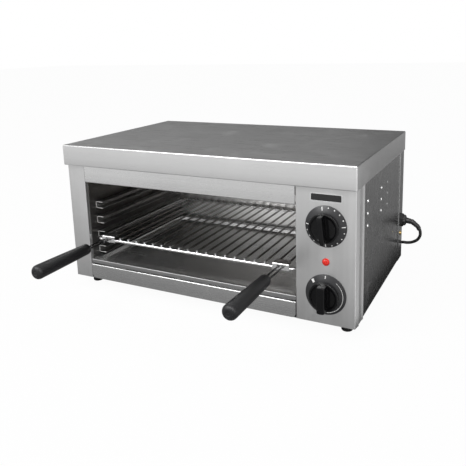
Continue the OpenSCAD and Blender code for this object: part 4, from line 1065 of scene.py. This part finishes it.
def make_lamp():
    """The pilot lamp's lens: a flange and a low dome, turned about its axis."""
    profile = [(0.3, 0.0), (6.2, 0.0), (6.5, 0.3), (6.5, 0.9), (6.25, 1.15), (5.7, 1.2), (5.5, 1.45)]
    profile += [(5.5 * math.cos(t), 1.45 + 3.05 * math.sin(t)) for t in np.radians([15, 30, 45, 60, 75, 86])]
    centre = panel_point(middle_of("pilot_lens")[2])
    piece("lamp_lens", [turned(profile, centre, OUT_OF_PANEL, 40)], LENS_RED,
          stands_for=["pilot_lens"])


def make_badge():
    """The bare plate: a black field inside a narrow bright border, both with round corners."""
    low, high = box("badge_plate")

    def ring(inset, out, radius):
        """Ring at an inset from the plate's edge and a height above the panel."""
        flat = rounded_rectangle(low[[0, 2]] + inset, high[[0, 2]] - inset, radius, 0.0, 4)
        return np.column_stack([flat[:, 0], np.full(len(flat), FRONT_Y - out), flat[:, 1]])

    border = [(0.9, 0.0, 0.6), (0.0, 0.0, 1.4), (0.0, 0.55, 1.4), (0.2, 0.75, 1.2), (0.55, 0.8, 0.9), (0.8, 0.7, 0.7),
              (0.9, 0.5, 0.6)]
    field = [(0.7, 0.02, 0.8), (0.7, 0.5, 0.8), (1.2, 0.52, 0.6)]
    border, field = ([ring(*np.array(row) * MM) for row in rows] for rows in (border, field))
    piece("badge_border", [outward(loft(border, round_again=True))], POLISHED_AND_GLINT_STEEL)
    piece("badge_field", [outward(loft(field))], BADGE_ENAMEL, stands_for=["badge_plate"])


TIMER_Z, HEAT_Z = middle_of("timer_dial")[2], middle_of("heat_dial")[2]
make_dial("timer", TIMER_Z)
make_dial("heat", HEAT_Z)
make_knob("timer", TIMER_Z, 9.0, math.radians(6))
make_knob("heat", HEAT_Z, 14.0, 0.0)
make_lamp()
make_badge()

MINUTES, MINUTE_STEP, ZERO_AT = 15, 19, -10.5
timer_marks = [dot_mark(TIMER_Z, minute * MINUTE_STEP + ZERO_AT, 33.0, 2.2) if minute % 5 else
               bar_mark(TIMER_Z, minute * MINUTE_STEP + ZERO_AT, 28.4, 34.4, 1.5) for minute in range(MINUTES + 1)]
piece("timer_marks", timer_marks, DIAL_PRINT)
arc_steps = np.linspace(0, 1, 40)
heat_marks = [bar_mark(HEAT_Z, -43, 28.4, 34.4, 4.4), bar_mark(HEAT_Z, 0, 29.6, 34.0, 1.5),
              printed(HEAT_Z, 38, 182, 30.6 - 0.2 * arc_steps, 31.0 + 0.5 * arc_steps, 40)]
piece("heat_marks", heat_marks, DIAL_PRINT)

# -------------------- feet and screws


def make_feet():
    """Rubber feet: a turned form, wider at its top, with a rounded lower edge and a hollow below for its screw."""
    low, high = box("feet")
    inset = 12 * MM
    profile = [(2.6, 21.9), (11.5, 21.9), (11.95, 21.5), (12.0, 20.6), (11.7, 19.8), (10.2, 2.6), (9.9, 1.3),
               (9.3, 0.4), (8.4, 0.0), (5.6, 0.0), (5.1, 0.5), (5.0, 13.8), (2.6, 14.0)]
    shells = [turned(profile, (x, y, 0), (0, 0, 1), round_again=True)
              for x in (low[0] + inset, high[0] - inset) for y in (low[1] + inset, high[1] - inset)]
    piece("rubber_feet", shells, FOOT_RUBBER, stands_for=["feet"])


def screw_head(centre, axis, radius, tall, shank):
    """Pan-head screw, measured in mm: a turned dome with a cross sunk in it, and its shank behind."""
    rows = [(radius * 0.02, -shank), (radius * 0.5, -shank), (radius * 0.5, 0.0), (radius * 0.94, 0.0),
            (radius, tall * 0.15), (radius, tall * 0.4), (radius * 0.93, tall * 0.68)]
    rows += [(radius * s, tall * (1 - 0.30 * s * s)) for s in (0.8, 0.68, 0.56, 0.46, 0.38, 0.3, 0.22, 0.14, 0.06)]

    def sunk(r, h, a):
        """The cross: arms of a quarter of the radius, 0.6 of it long, deepest in the middle."""
        x, y = np.abs(r * np.cos(a)) / radius, np.abs(r * np.sin(a)) / radius
        arm = ((np.minimum(x, y) < 0.12) & (np.maximum(x, y) < 0.58) & (h > tall * 0.5))
        return h - arm * tall * (0.62 - 0.5 * np.maximum(x, y))

    return turned(rows, centre, axis, 40, height_at=sunk)


def make_screws():
    """The screws of the back panel, and the brass earth screw with its washer beside the gland."""
    face = box("back_panel")[1][1]
    inset = 14 * MM
    xs = (inset - SIDE_X, -SIDE_X / 3, SIDE_X / 3, SIDE_X - inset)
    zs = (PANEL_LOW[2] + inset, COVER_LOW[2] - inset)
    heads = [screw_head((x, face, z), (0, 1, 0), 3.75, 1.7, 8) for x in xs for z in zs]
    piece("panel_screws", heads, SCREW_STEEL, stands_for=["back_screws"])
    spot = (SIDE_X, CORD_EXIT[1], CORD_EXIT[2] - 30 * MM)
    washer = turned([(1.0, 0.0), (5.0, 0.0), (5.1, 0.3), (4.9, 0.7), (1.0, 0.8)], spot, (1, 0, 0), 32)
    head = screw_head((spot[0] + 0.8 * MM, spot[1], spot[2]), (1, 0, 0), 3.4, 1.9, 2)
    piece("earth_screw", [washer, head], BRASS)


make_feet()
make_screws()

# -------------------- studio

WHITE = (1, 1, 1, 1)
LAMP_TARGET = np.array([0, 0, 0.15])


def bare_material(name):
    """A material with an empty tree."""
    material = bpy.data.materials.new(name)
    material.use_nodes = True
    material.node_tree.nodes.clear()
    return material, material.node_tree


def rays_that_see(tree):
    """1 for rays from the camera, from gloss and through glass, 0 for the rest."""
    path = tree.nodes.new("ShaderNodeLightPath")
    seen = math_node(tree, "MAXIMUM", path.outputs["Is Camera Ray"], path.outputs["Is Glossy Ray"])
    return math_node(tree, "MAXIMUM", seen, path.outputs["Is Transmission Ray"])


def make_world():
    """A white surround for all that sees it, and a plain soft light for the rest."""
    world = bpy.data.worlds.new("studio")
    scene.world = world
    world.use_nodes = True
    tree = world.node_tree
    tree.nodes.clear()
    seen = rays_that_see(tree)
    white = add(tree, "ShaderNodeBackground", {"Color": WHITE, "Strength": 1.0})
    soft = add(tree, "ShaderNodeBackground", {"Color": WHITE, "Strength": 0.55})
    mixed = add(tree, "ShaderNodeMixShader", {0: seen, 1: soft.outputs[0], 2: white.outputs[0]})
    add(tree, "ShaderNodeOutputWorld", {"Surface": mixed.outputs[0]})


def stage_sheet(name, corners, material):
    """A flat stage sheet through its corners."""
    mesh = bpy.data.meshes.new(name)
    mesh.from_pydata(corners, [], [tuple(range(len(corners)))])
    mesh.materials.append(material)
    made = linked(name, mesh)
    return made


def make_floor():
    """A pale floor: the eye sees almost plain white with a breath of the object's shadow in it, gloss sees a little
    more of the shadow, and all other light sees a pale matt floor."""
    material, tree = bare_material("studio_floor")
    path = tree.nodes.new("ShaderNodeLightPath")
    matt = add(tree, "ShaderNodeBsdfDiffuse", {"Color": (0.82, 0.82, 0.82, 1)})
    glow = add(tree, "ShaderNodeEmission", {"Color": WHITE, "Strength": 1.0})
    share = math_node(tree, "MAXIMUM", math_node(tree, "MULTIPLY", path.outputs["Is Camera Ray"], 0.96),
                      math_node(tree, "MULTIPLY", rays_that_see(tree), 0.62))
    mixed = add(tree, "ShaderNodeMixShader", {0: share, 1: matt.outputs[0], 2: glow.outputs[0]})
    add(tree, "ShaderNodeOutputMaterial", {"Surface": mixed.outputs[0]})
    stage_sheet("floor", lying(-12, 12, -12, 12, 0), material)


def flag(name, corners, bright, other=None, axis="Y"):
    """A studio card of plain brightness, or one that runs evenly from bright to other along an axis, which only the
    gloss of the model shows."""
    material, tree = bare_material(name)
    if other is not None:
        reach = [corner["XYZ".index(axis)] for corner in corners]
        place = tree.nodes.new("ShaderNodeTexCoord").outputs["Object"]
        bright = span_node(tree, coordinate(tree, place, axis), min(reach), max(reach), bright, other)
    glow = add(tree, "ShaderNodeEmission", {"Color": WHITE, "Strength": bright})
    add(tree, "ShaderNodeOutputMaterial", {"Surface": glow.outputs[0]})
    card = stage_sheet(name, corners, material)
    card.visible_camera = card.visible_diffuse = card.visible_transmission = card.visible_shadow = False


def upright(x0, x1, y, z0, z1):
    """Corners of an upright card across the view."""
    return [(x0, y, z0), (x1, y, z0), (x1, y, z1), (x0, y, z1)]


def lying(x0, x1, y0, y1, z=0.001):
    """Corners of a card that lies level."""
    return [(x0, y0, z), (x1, y0, z), (x1, y1, z), (x0, y1, z)]


def lamp(name, place, size, size_y, power):
    """An area lamp at a place, turned to the middle of the cabinet."""
    data = bpy.data.lights.new(name, "AREA")
    data.shape = "RECTANGLE"
    data.size, data.size_y, data.energy = size, size_y, power
    stand(linked(name, data), *basis(place - LAMP_TARGET), place)


make_world()
make_floor()
flag("back_card", upright(-6.0, 0.3, 2.2, 0.001, 2.1), 0.02, 0.38, "Z")
flag("right_back_card", upright(0.3, 4.5, 2.2, 0.001, 2.1), 0.34)
flag("dark_card", upright(-0.25, 1.6, 2.1, 0.6, 2.1), 0.08)
flag("side_mat", [(0.33, -0.02, 0.001), (1.55, 2.2, 0.001), (0.33, 2.2, 0.001)], 0.12, 0.30)
flag("near_mat", lying(-1.0, 0.34, -0.35, -0.10, 0.0015), 0.50, 0.30)
flag("under_mat", lying(-0.34, 0.34, -0.10, 0.40, 0.0015), 0.02)
flag("front_mat", lying(-2.4, 0.5, -1.35, -0.35), 1.15, 0.50)
flag("strip_light", lying(-2.2, 1.6, -1.35, -1.0, 1.75), 4.0, 22.0, "X")
flag("soft_box", lying(-2.3, -0.2, -2.9, -1.8, 1.75), 5.0)
flag("right_card", [(2.3, -1.9, 0.1), (2.3, -0.7, 0.1), (2.3, -0.7, 1.5), (2.3, -1.9, 1.5)], 3.0)
lamp("key", (-1.1, -1.7, 2.0), 1.4, 1.0, 38.0)
lamp("fill", (1.9, -1.2, 1.5), 1.2, 1.2, 12.0)

scene.view_settings.view_transform = "Standard"
